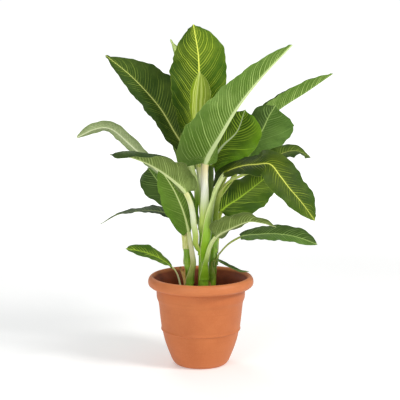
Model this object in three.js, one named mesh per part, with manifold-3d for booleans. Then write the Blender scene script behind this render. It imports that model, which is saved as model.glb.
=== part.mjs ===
// Potted dieffenbachia: three canes standing in a terracotta-coloured pot, with their leaves.
// Millimetres, +Z up, the viewer's side is -Y. The origin is the middle of the pot's flat underside.
// Every leaf is one closed body: a sheath that clasps its cane, a stalk, a midrib and a thin blade.

import * as THREE from 'three';
import { mergeVertices } from 'three/addons/utils/BufferGeometryUtils.js';
import Module from 'manifold-3d';

// ---------------------------------------------------------------- driving dimensions

const fitGap = 0.4;            // air kept between two grown or fitted pieces

const pot = {
  height: 206,
  rimRadius: 121,              // widest part of the rolled rim
  lipRadius: 108,              // inner edge of the rim
  rimDepth: 24,                // from the top down to the underside of the rim
  bodyTopRadius: 102,          // just under the rim
  beltRadius: 90.5,            // at the raised belt
  beltHeight: 83,
  footRadius: 57,
  lowerSide: [[64, 6], [74, 30], [83, 56]],                // radius and height, foot to belt
  upperSide: [[94, 116], [97.5, 146], [101, 152]],         // belt to rim
  inside: [[57, 5], [70, 30], [85.5, 83], [90, 116]],      // floor to rim
  wall: 4,                     // just under the rim
  drainCount: 6,
  drainRadius: 5,
  drainRing: 36,               // radius of the ring of drain holes
  drainSides: 12,
  segments: 40,
};

// The top is lumpy: lump high, with a wave number across and along.
const soil = { top: 164, lump: 2.5, waves: [0.09, 0.11], rings: 5, segments: 40 };

// Axis points from the root end up to the growing tip, with the radius at each.
const canes = {
  left: {
    name: 'cane_left',
    axis: [[-28, 2, 95], [-26, 2, 171], [-33, 8, 300], [-37, 10, 350]],
    radius: [10, 10, 8, 4.5],
  },
  centre: {
    name: 'cane_centre',
    axis: [[6, -4, 90], [6, -4, 168], [6, -4, 266], [2, 8, 352]],
    radius: [12, 12, 10.5, 5],
  },
  right: {
    name: 'cane_right',
    axis: [[22, 24, 95], [24, 24, 161], [30, 26, 272], [34, 31, 365]],
    radius: [10.5, 10.5, 9.5, 5],
  },
};

const caneShape = { sides: 12, nodeSpacing: 24, nodeSwell: 0.7, steps: 3 };

const sheath = { wall: 2.2, reach: 80, rise: 8 };        // reach: degrees round the cane on either side

const stalk = { depth: 0.7, steps: 6 };                  // depth: over its width

// Stations along the blade are closer near its base; across is the share of the half-width.
const blade = {
  thickness: 1.1,
  stations: 12,
  crowding: 1.25,
  ends: [0.012, 0.985],
  across: [0.5, 1],
  foldStart: [0.5, 0.15],      // share of the lift at the blade base, and where it is full
  fullRuffleWidth: 30,         // a narrower half is ruffled less
};

const midrib = { tipRadius: 0.9, taper: 0.6, middleDepth: 0.9, sideDepth: 0.6, sideInset: 0.7, leastBlade: 0.4 };

// Each leaf: path is the stalk's points, then the midrib's, from blade base to tip. bladeAt is the index of
// the blade base. node is the height where its sheath leaves the cane. stalk is its half-width at the foot
// and under the blade. face is the way its upper side looks, at the base and at the tip. half is the
// greatest half-width, left and right of the midrib seen from the upper side, and widest its place along
// the blade. blunt rounds the base and the tip, and lobe draws the base's two halves back past the stalk.
// lift folds each half up about the midrib, curl bends it on towards its edge (degrees at base and tip).
// wave is the ruffle: height and count. reach is how far the sheath goes round the cane.
const leaves = [
  {
    name: 'leaf_top_upright', cane: 'centre', node: 333, stalk: [6, 7], reach: 38,
    path: [[2, 25, 355], [-1, 34, 412], [-6, 45, 473], [-7, 56, 547], [-5, 62, 627], [-5, 64, 700],
      [-16, 54, 770]],
    bladeAt: 2, face: [[0, -1, 0.1], [0.1, -1, 0.2]], half: [[58, 66, 74], [50, 59, 84]], widest: 0.58,
    blunt: [0.4, 0.58], lobe: [0.1, 0.1],
    lift: [[25, 8], [25, 8]], curl: [[0, -10], [0, -10]], wave: [2, 4],
  },
  {
    name: 'leaf_young_rolled', cane: 'centre', node: null, stalk: [4.5, 3.5],
    path: [[2, 8, 352.8], [4, 5, 390], [-5, 16, 459], [-11, 24, 543], [-10, 26, 606], [-3, 22, 666]],
    bladeAt: 2, face: [[0, -1, 0], [0, -1, 0.1]],
    half: [26, 36], widest: 0.72, blunt: [0.8, 0.55], lobe: [0, 0],
    lift: [[40, 30], [10, 10]], curl: [[60, 40], [40, 30]], wave: [0, 1],
  },
  {
    name: 'leaf_front_right', cane: 'centre', node: 290, stalk: [12, 7], reach: 50,
    path: [[6, -21, 330], [8, -25, 366], [9, -29, 404], [8, -35, 442], [13, -43, 477], [43, -75, 535],
      [80, -105, 600],
      [129, -125, 664], [188, -135, 727]],
    bladeAt: 4, face: [[0.2, 0.9, 0.3], [0.2, 0.9, 0.3]], half: [44, [87, 58, 48]], widest: 0.25,
    blunt: [0.4, 0.55], lobe: [0.3, 0.4],
    lift: [[98, 98], [5, 5]], curl: [[0, 0], [0, 0]], wave: [2.5, 4],
  },
  {
    name: 'leaf_centre_right', cane: 'centre', node: 306, stalk: [9, 6.5], reach: 40,
    path: [[19, 8, 335], [22, 9, 365], [23, 9, 400], [23, 7, 436], [25, 8, 465], [49, 20, 501],
      [83, 38, 533],
      [101, 54, 580]],
    bladeAt: 4, face: [[-0.4, -0.85, 0.35], [-0.4, -0.85, 0.35]], half: [[24, 32, 60], 62], widest: 0.5,
    blunt: [0.5, 0.5], lobe: [0.3, 0.55],
    lift: [[10, 10], [10, 0]], curl: [[0, 0], [-20, -30]], wave: [2.5, 4],
  },
  {
    name: 'leaf_upper_left', cane: 'centre', node: 312, stalk: [7.8, 6.4], reach: 45,
    path: [[-10, 11, 342], [-9, 16, 400], [-21, 38, 450], [-33, 60, 486], [-59, 72, 526], [-92, 88, 580],
      [-127, 101, 621], [-167, 108, 661], [-217, 110, 701]],
    bladeAt: 3, face: [[0.1, -0.9, 0.35], [0.1, -0.9, 0.35]],
    half: [[43, 37, 48], [70, 71, 56]], widest: 0.45,
    blunt: [0.5, 0.8], lobe: [0.4, 0.1],
    lift: [[30, 15], [5, 5]], curl: [[0, 0], [0, 0]], wave: [2.5, 4],
  },
  {
    name: 'leaf_far_left_arched', cane: 'left', node: 322, stalk: [7, 4.5], reach: 70,
    path: [[-50, 3, 355], [-57, 2, 384], [-66, 0, 412], [-90, -4, 442], [-117, -8, 469], [-159, -18, 510],
      [-195, -32, 543], [-213, -38, 549], [-238, -48, 545], [-270, -54, 530]],
    bladeAt: 3, face: [[0.2, 0.8, 0.5], [0.2, 0.8, 0.5]], half: [[18, 20, 28], [24, 21, 22]], widest: 0.45,
    blunt: [0.6, 0.5], lobe: [0.4, 0.4],
    lift: [[5, 5], [20, 20]], curl: [[0, 0], [0, 0]], wave: [1.5, 3],
  },
  {
    name: 'leaf_left_front', cane: 'centre', node: 254, stalk: [9, 5.5], reach: 34,
    path: [[-10, -13, 278], [-12, -27, 306], [-16, -36, 333], [-18, -41, 356], [-25, -47, 386],
      [-38, -56, 412],
      [-57, -68, 432], [-90, -90, 460], [-122, -104, 479], [-158, -114, 492], [-193, -116, 496]],
    bladeAt: 5, face: [[0, 0.9, 0.45], [0.1, 0.5, 0.8]], half: [[48, 67, 130], [32, 30, 36]], widest: 0.35,
    blunt: [0.4, 0.6], lobe: [0.4, 0.3],
    lift: [[5, 15], [70, 40]], curl: [[10, -115], [0, 0]], wave: [3, 4],
  },
  {
    name: 'leaf_lower_left', cane: 'left', node: 188, stalk: [8, 4.5], reach: 75,
    path: [[-17, -14, 235], [-19, -17, 262], [-23, -17, 290], [-28, -15, 316], [-38, -15, 353],
      [-48, -14, 378],
      [-62, -14, 408], [-79, -14, 435], [-92, -13, 453]],
    bladeAt: 3, face: [[0.2, 0.95, 0.1], [0.2, 0.95, 0]], half: [[27, 35, 36], [44, 41, 36]], widest: 0.45,
    blunt: [0.45, 0.5], lobe: [0, 0.4],
    lift: [[10, 5], [0, 0]], curl: [[0, 0], [0, 0]], wave: [1.5, 3],
  },
  {
    name: 'leaf_left_back', cane: 'left', node: 262, stalk: [4.5, 4], reach: 60,
    path: [[-31, 28, 302], [-36, 42, 335], [-62, 62, 366], [-98, 92, 408], [-124, 125, 438]],
    bladeAt: 1, face: [[-0.1, -0.7, 0.7], [-0.1, -0.7, 0.7]], half: [[28, 41, 50], 45], widest: 0.6,
    blunt: [0.5, 0.5], lobe: [0.4, 0.4],
    lift: [[5, 5], [5, 5]], curl: [[0, 0], [0, 0]], wave: [2, 3],
  },
  {
    name: 'leaf_left_drooping', cane: 'left', node: 230, stalk: [4.5, 4], reach: 60,
    path: [[-38, 26, 268], [-40, 34, 296], [-48, 48, 318], [-66, 70, 333], [-95, 88, 340], [-124, 98, 341],
      [-163, 110, 336], [-197, 122, 328], [-237, 132, 305]],
    bladeAt: 3, face: [[0, -0.2, 1], [0, -0.1, 1]], half: [[30, 24, 22], [36, 26, 22]], widest: 0.3,
    blunt: [0.4, 0.7], lobe: [0.3, 0.3],
    lift: [[10, 10], [5, 10]], curl: [[0, 0], [0, 0]], wave: [1.5, 3],
  },
  {
    name: 'leaf_small_sucker', cane: null, node: null, stalk: [2.6, 2.2],
    path: [[-42, -14, 120], [-46, -15, 181], [-56, -24, 219], [-70, -32, 236], [-96, -50, 257],
      [-127, -62, 272],
      [-165, -70, 281]],
    bladeAt: 3, face: [[0, -0.45, 0.9], [0, -0.45, 0.9]], half: [[30, 25, 26], [30, 26, 26]], widest: 0.5,
    blunt: [0.5, 0.5], lobe: [0.3, 0.3],
    lift: [[10, 10], [10, 10]], curl: [[0, 0], [0, 0]], wave: [0.5, 2],
  },
  {
    name: 'leaf_far_right_upper', cane: 'right', node: 306, stalk: [8, 5], reach: 60,
    path: [[26, 46, 342], [36, 62, 385], [56, 80, 420], [88, 108, 480], [144, 160, 541], [198, 200, 579],
      [259, 225, 615], [318, 240, 654]],
    bladeAt: 3, face: [[-0.4, 0.1, 0.9], [-0.4, 0.1, 0.9]], half: [[46, 35, 56], [44, 33, 56]], widest: 0.4,
    blunt: [0.5, 0.7], lobe: [0.3, 0.3],
    lift: [[75, 75], [75, 75]], curl: [[0, 0], [0, 0]], wave: [2.5, 4],
  },
  {
    name: 'leaf_right_broad', cane: 'right', node: null, stalk: [5, 5],
    path: [[34.3, 31.1, 366], [42, 34, 382], [72, 47, 422], [93, 57, 453], [112, 68, 480], [129, 84, 506],
      [148, 102, 538], [160, 114, 562], [175, 122, 586]],
    bladeAt: 4, face: [[-0.2, -0.75, 0.5], [-0.2, -0.75, 0.5]],
    half: [[44, 42, 44], [64, 71, 80]], widest: 0.58,
    blunt: [0.5, 0.42], lobe: [0.3, 0.3],
    lift: [[10, 10], [5, 5]], curl: [[0, 0], [0, 0]], wave: [2.5, 4],
  },
  {
    name: 'leaf_right_behind', cane: 'right', node: 282, stalk: [7, 4], reach: 55,
    path: [[34, 8, 320], [36, 6, 360], [45, 8, 395], [60, 14, 418], [90, 28, 432], [116, 46, 439],
      [143, 70, 448],
      [196, 110, 477], [230, 128, 479], [259, 140, 464]],
    bladeAt: 5, face: [[0, -0.25, 1], [0, -0.35, 1]], half: [[34, 30, 34], [36, 36, 60]], widest: 0.45,
    blunt: [0.5, 0.55], lobe: [0.2, 0.2],
    lift: [[20, 20], [20, 0]], curl: [[0, 0], [0, 0]], wave: [2, 4],
  },
  {
    name: 'leaf_right_bent', cane: 'centre', node: 240, stalk: [12, 7], reach: 50,
    path: [[12, -29, 295], [16, -35, 335], [22, -39, 368], [31, -42, 405], [40, -45, 425], [50, -49, 443],
      [60, -56, 454], [92, -78, 468], [120, -96, 473], [150, -110, 475], [171, -122, 451], [192, -130, 424],
      [218, -134, 394], [243, -136, 360]],
    bladeAt: 6, face: [[-0.1, -0.35, 0.93], [0.35, -0.85, 0.35]],
    half: [[58, 46, 62], [46, 40, 42]], widest: 0.45,
    blunt: [0.2, 0.55], lobe: [1.2, 0.2],
    lift: [[0, 0], [0, 0]], curl: [[0, 0], [0, 0]], wave: [2.5, 4],
  },
  {
    name: 'leaf_right_middle', cane: 'right', node: 252, stalk: [7, 4.5], reach: 55,
    path: [[38, 43, 285], [40, 48, 320], [50, 56, 348], [93, 82, 375], [134, 112, 402], [179, 142, 432]],
    bladeAt: 2, face: [[-0.25, -0.75, 0.65], [-0.25, -0.75, 0.65]],
    half: [[50, 46, 46], [64, 62, 56]], widest: 0.38,
    blunt: [0.4, 0.5], lobe: [0.4, 0.4],
    lift: [[5, 5], [5, 5]], curl: [[0, 0], [0, 0]], wave: [2, 3],
  },
  {
    name: 'leaf_right_arched', cane: 'centre', node: 198, stalk: [6.5, 4.5], reach: 60,
    path: [[13, -25, 248], [23, -34, 285], [38, -43, 307], [66, -58, 325], [106, -90, 346],
      [134, -110, 346],
      [160, -125, 341]],
    bladeAt: 2, face: [[-0.1, 0.8, 0.6], [-0.1, 0.65, 0.75]], half: [32, [48, 44, 66]], widest: 0.3,
    blunt: [0.4, 0.6], lobe: [0.3, 0],
    lift: [[35, 30], [5, 0]], curl: [[0, 0], [0, 0]], wave: [1.5, 3],
  },
  {
    name: 'leaf_right_low', cane: 'right', node: 226, stalk: [3.5, 2.8], reach: 45,
    path: [[45, 18, 256], [54, 12, 268], [68, 4, 282], [96, 2, 297], [125, -12, 303], [170, -32, 308],
      [215, -50, 304],
      [257, -60, 290]],
    bladeAt: 3, face: [[0, -0.45, 0.9], [0, -0.45, 0.9]], half: [[32, 28, 42], [32, 28, 34]], widest: 0.47,
    blunt: [0.4, 0.55], lobe: [0.3, 0.3],
    lift: [[15, 15], [5, 5]], curl: [[0, 0], [0, 0]], wave: [1.5, 3],
  },
  {
    name: 'leaf_right_thin', cane: 'right', node: 196, stalk: [2.5, 2.2], reach: 40,
    path: [[27, 5, 238], [36, 4, 241], [48, 6, 234], [65, 10, 224], [91, 16, 212], [109, 20, 211]],
    bladeAt: 1, face: [[0.2, -0.2, 0.95], [0.2, -0.2, 0.95]],
    half: [11, 11], widest: 0.4, blunt: [0.7, 0.6],
    lobe: [0.2, 0.2],
    lift: [[25, 10], [25, 10]], curl: [[0, 0], [0, 0]], wave: [0.5, 2],
  },
  {
    name: 'leaf_back_upright', cane: 'left', node: null, stalk: [4.5, 4.5],
    path: [[-37, 10, 351], [-37, 18, 375], [-31, 50, 420], [-27, 78, 450], [-38, 116, 520], [-46, 147, 611],
      [-50, 155, 681], [-57, 153, 710], [-69, 150, 736]],
    bladeAt: 3, face: [[0.1, -1, 0.1], [0.1, -1, 0.1]],
    half: [[42, 28, 26], [50, 48, 36]], widest: 0.3, blunt: [0.5, 0.7],
    lobe: [0.2, 0.3],
    lift: [[20, 20], [10, 10]], curl: [[0, 0], [0, 0]], wave: [2, 3],
  },
];

// Dried bases of old leaves: curled strips round a cane, opening out towards the top.
const dryBases = [
  { name: 'dry_sheath_left', cane: 'left', foot: 268, top: 316,
    facing: -130, reach: [70, 50], flare: 2.5, wall: 1.4 },
  { name: 'dry_stub_left', cane: 'left', foot: 184, top: 230,
    facing: -160, reach: [18, 52], flare: 9, wall: 2 },
  { name: 'dry_stub_right', cane: 'right', foot: 172, top: 193,
    facing: -120, reach: [30, 12], flare: 3, wall: 1.6 },
];

const colours = {
  clay: 0xc2703f,
  soil: 0x3a2a1e,
  cane: 0x6f8f35,
  dry: 0xb98a4a,
  leaf: 0x3f6b22,
  youngLeaf: 0x8fae3a,
};

// ---------------------------------------------------------------- small helpers

const vec = (p) => new THREE.Vector3(p[0], p[1], p[2]);
const radians = (degrees) => degrees * Math.PI / 180;
const mix = (a, b, t) => a + (b - a) * t;
const clamp01 = (t) => Math.min(1, Math.max(0, t));
const smooth = (t) => t * t * (3 - 2 * t);
const pick = (pair, t) => mix(pair[0], pair[1], t);

// A curve walked by arc length, with the direction at each place.
class Walk {
  constructor(points) {
    this.curve = new THREE.CatmullRomCurve3(points.map(vec), false, 'centripetal');
    this.points = this.curve.getPoints(240);
    this.far = [0];
    for (let i = 1; i < this.points.length; i++) {
      this.far.push(this.far[i - 1] + this.points[i].distanceTo(this.points[i - 1]));
    }
    this.length = this.far[this.far.length - 1];
  }

  // The place at a distance along, going straight on past either end.
  at(distance) {
    const d = Math.min(this.length, Math.max(0, distance));
    let i = 1;
    while (i < this.far.length - 1 && this.far[i] < d) i++;
    const t = (d - this.far[i - 1]) / (this.far[i] - this.far[i - 1]);
    const point = this.points[i - 1].clone().lerp(this.points[i], t);
    const tangent = this.tangentNear(i, t);
    return { point: point.addScaledVector(tangent, distance - d), tangent };
  }

  tangentNear(i, t) {
    const last = this.points.length - 1;
    const edge = (k) => {
      const j = Math.min(last, Math.max(1, k));
      return this.points[j].clone().sub(this.points[j - 1]).normalize();
    };
    const before = edge(i).add(edge(i - 1)).normalize();
    const after = edge(i).add(edge(i + 1)).normalize();
    return before.lerp(after, t).normalize();
  }
}

// A closed body lofted through rings that all have the same number of points, closed at both ends.
// Each ring runs along its upper side and back along its lower side.
function loftGeometry(rings) {
  const n = rings[0].length;
  const half = n / 2;
  const positions = [];
  const index = [];
  rings.forEach((ring) => ring.forEach((p) => positions.push(p.x, p.y, p.z)));
  for (let r = 0; r < rings.length - 1; r++) {
    for (let k = 0; k < n; k++) {
      const a = r * n + k;
      const b = r * n + (k + 1) % n;
      // The diagonal is mirrored on the lower side, so both sides split into triangles alike.
      if (k < half) index.push(a, b, b + n, a, b + n, a + n);
      else index.push(a, b, a + n, b, b + n, a + n);
    }
  }
  const cap = (start, flip) => {
    for (let k = 0; k < half - 1; k++) {
      const [a, b, c, d] = [start + k, start + k + 1, start + n - 2 - k, start + n - 1 - k];
      if (flip) index.push(a, b, c, a, c, d);
      else index.push(a, c, b, a, d, c);
    }
  };
  cap(0, false);
  cap((rings.length - 1) * n, true);
  const geometry = new THREE.BufferGeometry();
  geometry.setAttribute('position', new THREE.Float32BufferAttribute(positions, 3));
  geometry.setIndex(index);
  return geometry;
}

// ---------------------------------------------------------------- canes

// A cane's axis and radius at a height, going straight on above its tip.
function caneAt(cane, z) {
  const axis = cane.axis;
  let i = 1;
  while (i < axis.length - 1 && axis[i][2] < z) i++;
  const t = (z - axis[i - 1][2]) / (axis[i][2] - axis[i - 1][2]);
  const point = vec(axis[i - 1]).lerp(vec(axis[i]), t);
  return { point, radius: mix(cane.radius[i - 1], cane.radius[i], clamp01(t)) };
}

// Rings up the cane, swelling a little at each leaf scar.
function caneGeometry(cane) {
  const rings = [];
  const bottom = cane.axis[0][2];
  const top = cane.axis[cane.axis.length - 1][2];
  const step = caneShape.nodeSpacing / caneShape.steps;
  const count = Math.round((top - bottom) / step);
  for (let i = 0; i <= count; i++) {
    const { point, radius } = caneAt(cane, mix(bottom, top, i / count));
    const swell = i % caneShape.steps === 0 ? caneShape.nodeSwell : 0;
    const ring = [];
    for (let k = 0; k < caneShape.sides; k++) {
      const angle = 2 * Math.PI * k / caneShape.sides;
      ring.push(new THREE.Vector3(Math.cos(angle), Math.sin(angle), 0)
        .multiplyScalar(radius + swell)
        .add(point));
    }
    rings.push(ring);
  }
  return loftGeometry(rings);
}

// A dried leaf base: a crescent round the cane that narrows and leans out as it rises.
function dryBaseGeometry(base) {
  const rings = [];
  for (let i = 0; i <= 4; i++) {
    const t = i / 4;
    const { point, radius } = caneAt(canes[base.cane], mix(base.foot, base.top, t));
    const inner = radius + caneShape.nodeSwell + fitGap + base.flare * t * t;
    const middle = radians(base.facing);
    const reach = radians(pick(base.reach, t));
    const upper = [];
    const lower = [];
    for (let k = 0; k < 7; k++) {
      const angle = middle - mix(-reach, reach, k / 6);
      const way = new THREE.Vector3(Math.cos(angle), Math.sin(angle), 0);
      upper.push(point.clone().addScaledVector(way, inner));
      lower.push(point.clone().addScaledVector(way, inner + base.wall));
    }
    rings.push([...upper, ...lower.reverse()]);
  }
  return loftGeometry(rings);
}

// ---------------------------------------------------------------- leaves

// The half-width's share of the greatest, from the rounded base (0) to the pointed tip (1).
function outline(spec, s) {
  const skew = Math.log(0.5) / Math.log(spec.widest);
  return Math.pow(Math.sin(Math.PI * Math.pow(s, skew)), pick(spec.blunt, s));
}

// One half-width all along, or three that blend from the base past the middle to the tip.
function fullness(half, s) {
  if (typeof half === 'number') return half;
  return half[0] * (1 - s) * (1 - 2 * s) + 4 * half[1] * s * (1 - s) + half[2] * s * (2 * s - 1);
}

class Leaf {
  constructor(spec) {
    this.spec = spec;
    this.cane = spec.node === null ? null : canes[spec.cane];
    const start = this.cane ? this.sheathPoints() : [];
    this.walk = new Walk([...start, ...spec.path]);
    this.baseAt = this.distanceOf(vec(spec.path[spec.bladeAt]));
    this.bladeLength = this.walk.length - this.baseAt;
    this.outward = this.cane ? this.outwardWay() : null;
  }

  sheathPoints() {
    const rise = (h) => caneAt(this.cane, this.spec.node + h).point.toArray();
    return [rise(0), rise(sheath.rise)];
  }

  // The level way from the cane out to the stalk.
  outwardWay() {
    const first = vec(this.spec.path[0]);
    return first.sub(caneAt(this.cane, first.z).point).setZ(0).normalize();
  }

  distanceOf(target) {
    let best = 0;
    this.walk.points.forEach((p, i) => {
      if (p.distanceTo(target) < this.walk.points[best].distanceTo(target)) best = i;
    });
    return this.walk.far[best];
  }

  // Point, tangent, the upper side's normal and the way to the right, at a distance along.
  frame(distance) {
    const { point, tangent } = this.walk.at(distance);
    const { face } = this.spec;
    const s = clamp01((distance - this.baseAt) / this.bladeLength);
    const hint = vec(face[0]).normalize().lerp(vec(face[1]).normalize(), s);
    if (this.outward && distance < this.baseAt) {
      hint.lerp(this.outward.clone().negate(), 1 - smooth(clamp01(distance / this.baseAt)));
    }
    const normal = hint.addScaledVector(tangent, -hint.dot(tangent)).normalize();
    const right = tangent.clone().cross(normal).normalize();
    return { point, tangent, normal, right, s };
  }

  stalkRadius(distance) {
    return pick(this.spec.stalk, clamp01(distance / this.baseAt));
  }

  ribRadius(s) {
    return mix(this.spec.stalk[1], midrib.tipRadius, Math.pow(s, midrib.taper));
  }

  // How far this place still clasps the cane: 1 on its axis, 0 once the stalk has left it.
  clasp(point, depth) {
    if (!this.cane) return 0;
    const { point: axis, radius } = caneAt(this.cane, point.z);
    const away = Math.hypot(point.x - axis.x, point.y - axis.y);
    return 1 - clamp01(away / (radius + caneShape.nodeSwell + depth + fitGap));
  }

  // A ring of the stalk: oval where free, a crescent where it clasps the cane.
  stalkRing(distance, count) {
    const { point, normal, right } = this.frame(distance);
    const wide = this.stalkRadius(distance);
    const deep = wide * stalk.depth;
    const hold = this.clasp(point, deep);
    const level = this.cane ? hold : Number(distance === 0);
    const inward = this.outward ? this.outward.clone().negate() : normal.clone().setZ(0).normalize();
    normal.lerp(inward, level).normalize();
    right.lerp(new THREE.Vector3(0, 0, 1).cross(inward), level).normalize();
    const caneRadius = this.cane ? caneAt(this.cane, point.z).radius + caneShape.nodeSwell : 0;
    const inner = caneRadius + fitGap;
    const outer = inner + sheath.wall;
    const reach = radians(this.spec.reach ?? sheath.reach);
    const polar = (radiusAcross, radiusOut, angle) => point.clone()
      .addScaledVector(right, radiusAcross * Math.sin(angle))
      .addScaledVector(normal, -radiusOut * Math.cos(angle));
    const upper = [];
    const lower = [];
    for (let k = 0; k < count; k++) {
      const u = mix(-1, 1, k / (count - 1));
      const side = u * (Math.PI / 2) * 0.94;
      upper.push(polar(wide, -deep, side).lerp(polar(inner, inner, u * reach), hold));
      lower.push(polar(wide, deep, side).lerp(polar(outer, outer, u * reach), hold));
    }
    return [...upper, ...lower.reverse()];
  }

  // The plain hole the foot of a free-standing stalk needs in the soil.
  footHole() {
    const roomy = new Leaf({ ...this.spec, stalk: this.spec.stalk.map((wide) => wide + 2 * fitGap) });
    const depth = soil.top + 3 * soil.lump - this.spec.path[0][2];
    return loftGeometry([-fitGap, depth / 2, depth].map((distance) => roomy.stalkRing(distance, 7)));
  }

  // How far a half of the blade folds up, easing in from the stalk.
  foldAngle(half, s) {
    const [share, full] = blade.foldStart;
    return radians(pick(this.spec.lift[half], s)) * mix(share, 1, smooth(clamp01(s / full)));
  }

  // A place on the blade's middle surface, q of the way out on one side, and the normal there.
  bladePoint(s, side, q) {
    const { spec } = this;
    const k = side < 0 ? 0 : 1;
    const rib = this.ribRadius(s);
    const width = Math.max(rib * midrib.leastBlade, fullness(spec.half[k], s) * outline(spec, s) - rib);
    const lobe = -fullness(spec.half[k], 0) * spec.lobe[k] * q * q * Math.pow(1 - s, 8);
    const { point, normal, right } = this.frame(this.baseAt + s * this.bladeLength + lobe);
    const start = this.foldAngle(k, s);
    const turn = radians(pick(spec.curl[k], s));
    const angle = start + turn * q;
    const bent = Math.abs(turn) > 1e-4;
    const along = bent ? (Math.sin(angle) - Math.sin(start)) / turn : q * Math.cos(start);
    const up = bent ? (Math.cos(start) - Math.cos(angle)) / turn : q * Math.sin(start);
    const local = normal.clone().multiplyScalar(Math.cos(angle))
      .addScaledVector(right, -side * Math.sin(angle));
    const ruffle = spec.wave[0] * q * q * Math.sin(Math.PI * (2 * spec.wave[1] * s + 0.6 * k))
      * Math.min(1, width / blade.fullRuffleWidth);
    const place = point.addScaledVector(right, side * (rib + width * along))
      .addScaledVector(normal, width * up)
      .addScaledVector(local, ruffle);
    return { place, local };
  }

  bladeRing(s) {
    const rib = this.ribRadius(s);
    const { across, thickness } = blade;
    const upper = [];
    const lower = [];
    const add = (side, q) => {
      const { place, local } = this.bladePoint(s, side, q);
      upper.push(place.clone().addScaledVector(local, thickness / 2));
      lower.push(place.clone().addScaledVector(local, -thickness / 2));
    };
    const { point, normal, right } = this.frame(this.baseAt + s * this.bladeLength);
    const addRib = (side, depth) => {
      // A folded half needs the rib's underside as wide as its upper side, or they would cross.
      const fold = side === 0 ? 0 : Math.max(0, Math.sin(this.foldAngle(side < 0 ? 0 : 1, s)));
      const out = rib * mix(midrib.sideInset, 1, fold) + thickness * fold;
      upper.push(point.clone().addScaledVector(right, side * rib).addScaledVector(normal, thickness / 2));
      lower.push(point.clone().addScaledVector(right, side * out).addScaledVector(normal, -depth * rib));
    };
    [...across].reverse().forEach((q) => add(-1, q));
    addRib(-1, midrib.sideDepth);
    addRib(0, midrib.middleDepth);
    addRib(1, midrib.sideDepth);
    across.forEach((q) => add(1, q));
    return [...upper, ...lower.reverse()];
  }

  geometry() {
    const count = 2 * blade.across.length + 3;
    const rings = [];
    for (let i = 0; i <= stalk.steps; i++) {
      rings.push(this.stalkRing(this.baseAt * i / (stalk.steps + 0.3), count));
    }
    for (let i = 0; i <= blade.stations; i++) {
      rings.push(this.bladeRing(pick(blade.ends, Math.pow(i / blade.stations, blade.crowding))));
    }
    return loftGeometry(rings);
  }
}

// ---------------------------------------------------------------- pot and soil

function latheUp(points, segments) {
  const profile = points.map((p) => new THREE.Vector2(p[0], p[1]));
  return new THREE.LatheGeometry(profile, segments).rotateX(Math.PI / 2);
}

// Up the outside, round the rolled rim and down the inside.
function potProfile() {
  const { height, rimRadius, lipRadius, bodyTopRadius, beltRadius, beltHeight, footRadius } = pot;
  const rimUnder = height - pot.rimDepth;
  return [
    [0, 0],
    [footRadius, 0],
    ...pot.lowerSide,
    [beltRadius - 1.5, beltHeight - 3],
    [beltRadius + 0.5, beltHeight],
    [beltRadius, beltHeight + 5],
    ...pot.upperSide,
    [bodyTopRadius, rimUnder],
    [rimRadius - 6, rimUnder],
    [rimRadius - 1, rimUnder + 5],
    [rimRadius, rimUnder + 12],
    [rimRadius - 3, height - 4],
    [rimRadius - 7, height],
    [lipRadius + 1.5, height],
    [lipRadius, height - 2],
    ...insideWall().reverse(),
    [0, pot.inside[0][1]],
  ];
}

const insideWall = () => [...pot.inside, [pot.bodyTopRadius - pot.wall, pot.height - pot.rimDepth]];

// The pot's inner radius at a height, for the soil that fills it.
function innerRadius(z) {
  const wall = insideWall();
  let i = 1;
  while (i < wall.length - 1 && wall[i][1] < z) i++;
  return mix(wall[i - 1][0], wall[i][0], (z - wall[i - 1][1]) / (wall[i][1] - wall[i - 1][1]));
}

const wasm = await Module();
wasm.setup();

// A closed surface as a solid that can be cut, and back.
function toSolid(geometry) {
  const bare = geometry.clone();
  bare.deleteAttribute('normal');
  bare.deleteAttribute('uv');
  const merged = mergeVertices(bare, 1e-4);
  return new wasm.Manifold(new wasm.Mesh({
    numProp: 3,
    vertProperties: merged.attributes.position.array,
    triVerts: new Uint32Array(merged.index.array),
  }));
}

function toGeometry(solid) {
  const mesh = solid.getMesh();
  const geometry = new THREE.BufferGeometry();
  geometry.setAttribute('position', new THREE.BufferAttribute(mesh.vertProperties, 3));
  geometry.setIndex(new THREE.BufferAttribute(mesh.triVerts, 1));
  return geometry;
}

function potGeometry() {
  let solid = toSolid(latheUp(potProfile(), pot.segments));
  for (let i = 0; i < pot.drainCount; i++) {
    const angle = 2 * Math.PI * (i + 0.5) / pot.drainCount;
    const drill = new THREE.CylinderGeometry(pot.drainRadius, pot.drainRadius, 20, pot.drainSides)
      .rotateX(Math.PI / 2)
      .translate(pot.drainRing * Math.cos(angle), pot.drainRing * Math.sin(angle), 0);
    solid = solid.subtract(toSolid(drill));
  }
  return toGeometry(solid);
}

// The soil fills the pot up to a slightly lumpy top, and every stem stands in a plain hole in it.
function soilGeometry(stems) {
  const bottom = pot.inside[0][1] + fitGap;
  const edge = [[0, bottom], [innerRadius(bottom) - 2, bottom]];
  pot.inside.slice(1).forEach(([radius, z]) => edge.push([radius - fitGap, z]));
  edge.push([innerRadius(soil.top) - fitGap, soil.top - 1]);
  for (let i = soil.rings - 1; i > 0; i--) edge.push([innerRadius(soil.top) * i / soil.rings, soil.top]);
  edge.push([0, soil.top]);
  const geometry = latheUp(edge, soil.segments);
  const at = geometry.attributes.position;
  for (let i = 0; i < at.count; i++) {
    if (at.getZ(i) < soil.top - 0.5) continue;
    const lump = Math.sin(at.getX(i) * soil.waves[0] + 1) * Math.cos(at.getY(i) * soil.waves[1]);
    at.setZ(i, at.getZ(i) + soil.lump * lump);
  }
  let solid = toSolid(geometry);
  stems.forEach((stem) => {
    solid = solid.subtract(toSolid(stem));
  });
  return toGeometry(solid);
}

// ---------------------------------------------------------------- the scene

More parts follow.
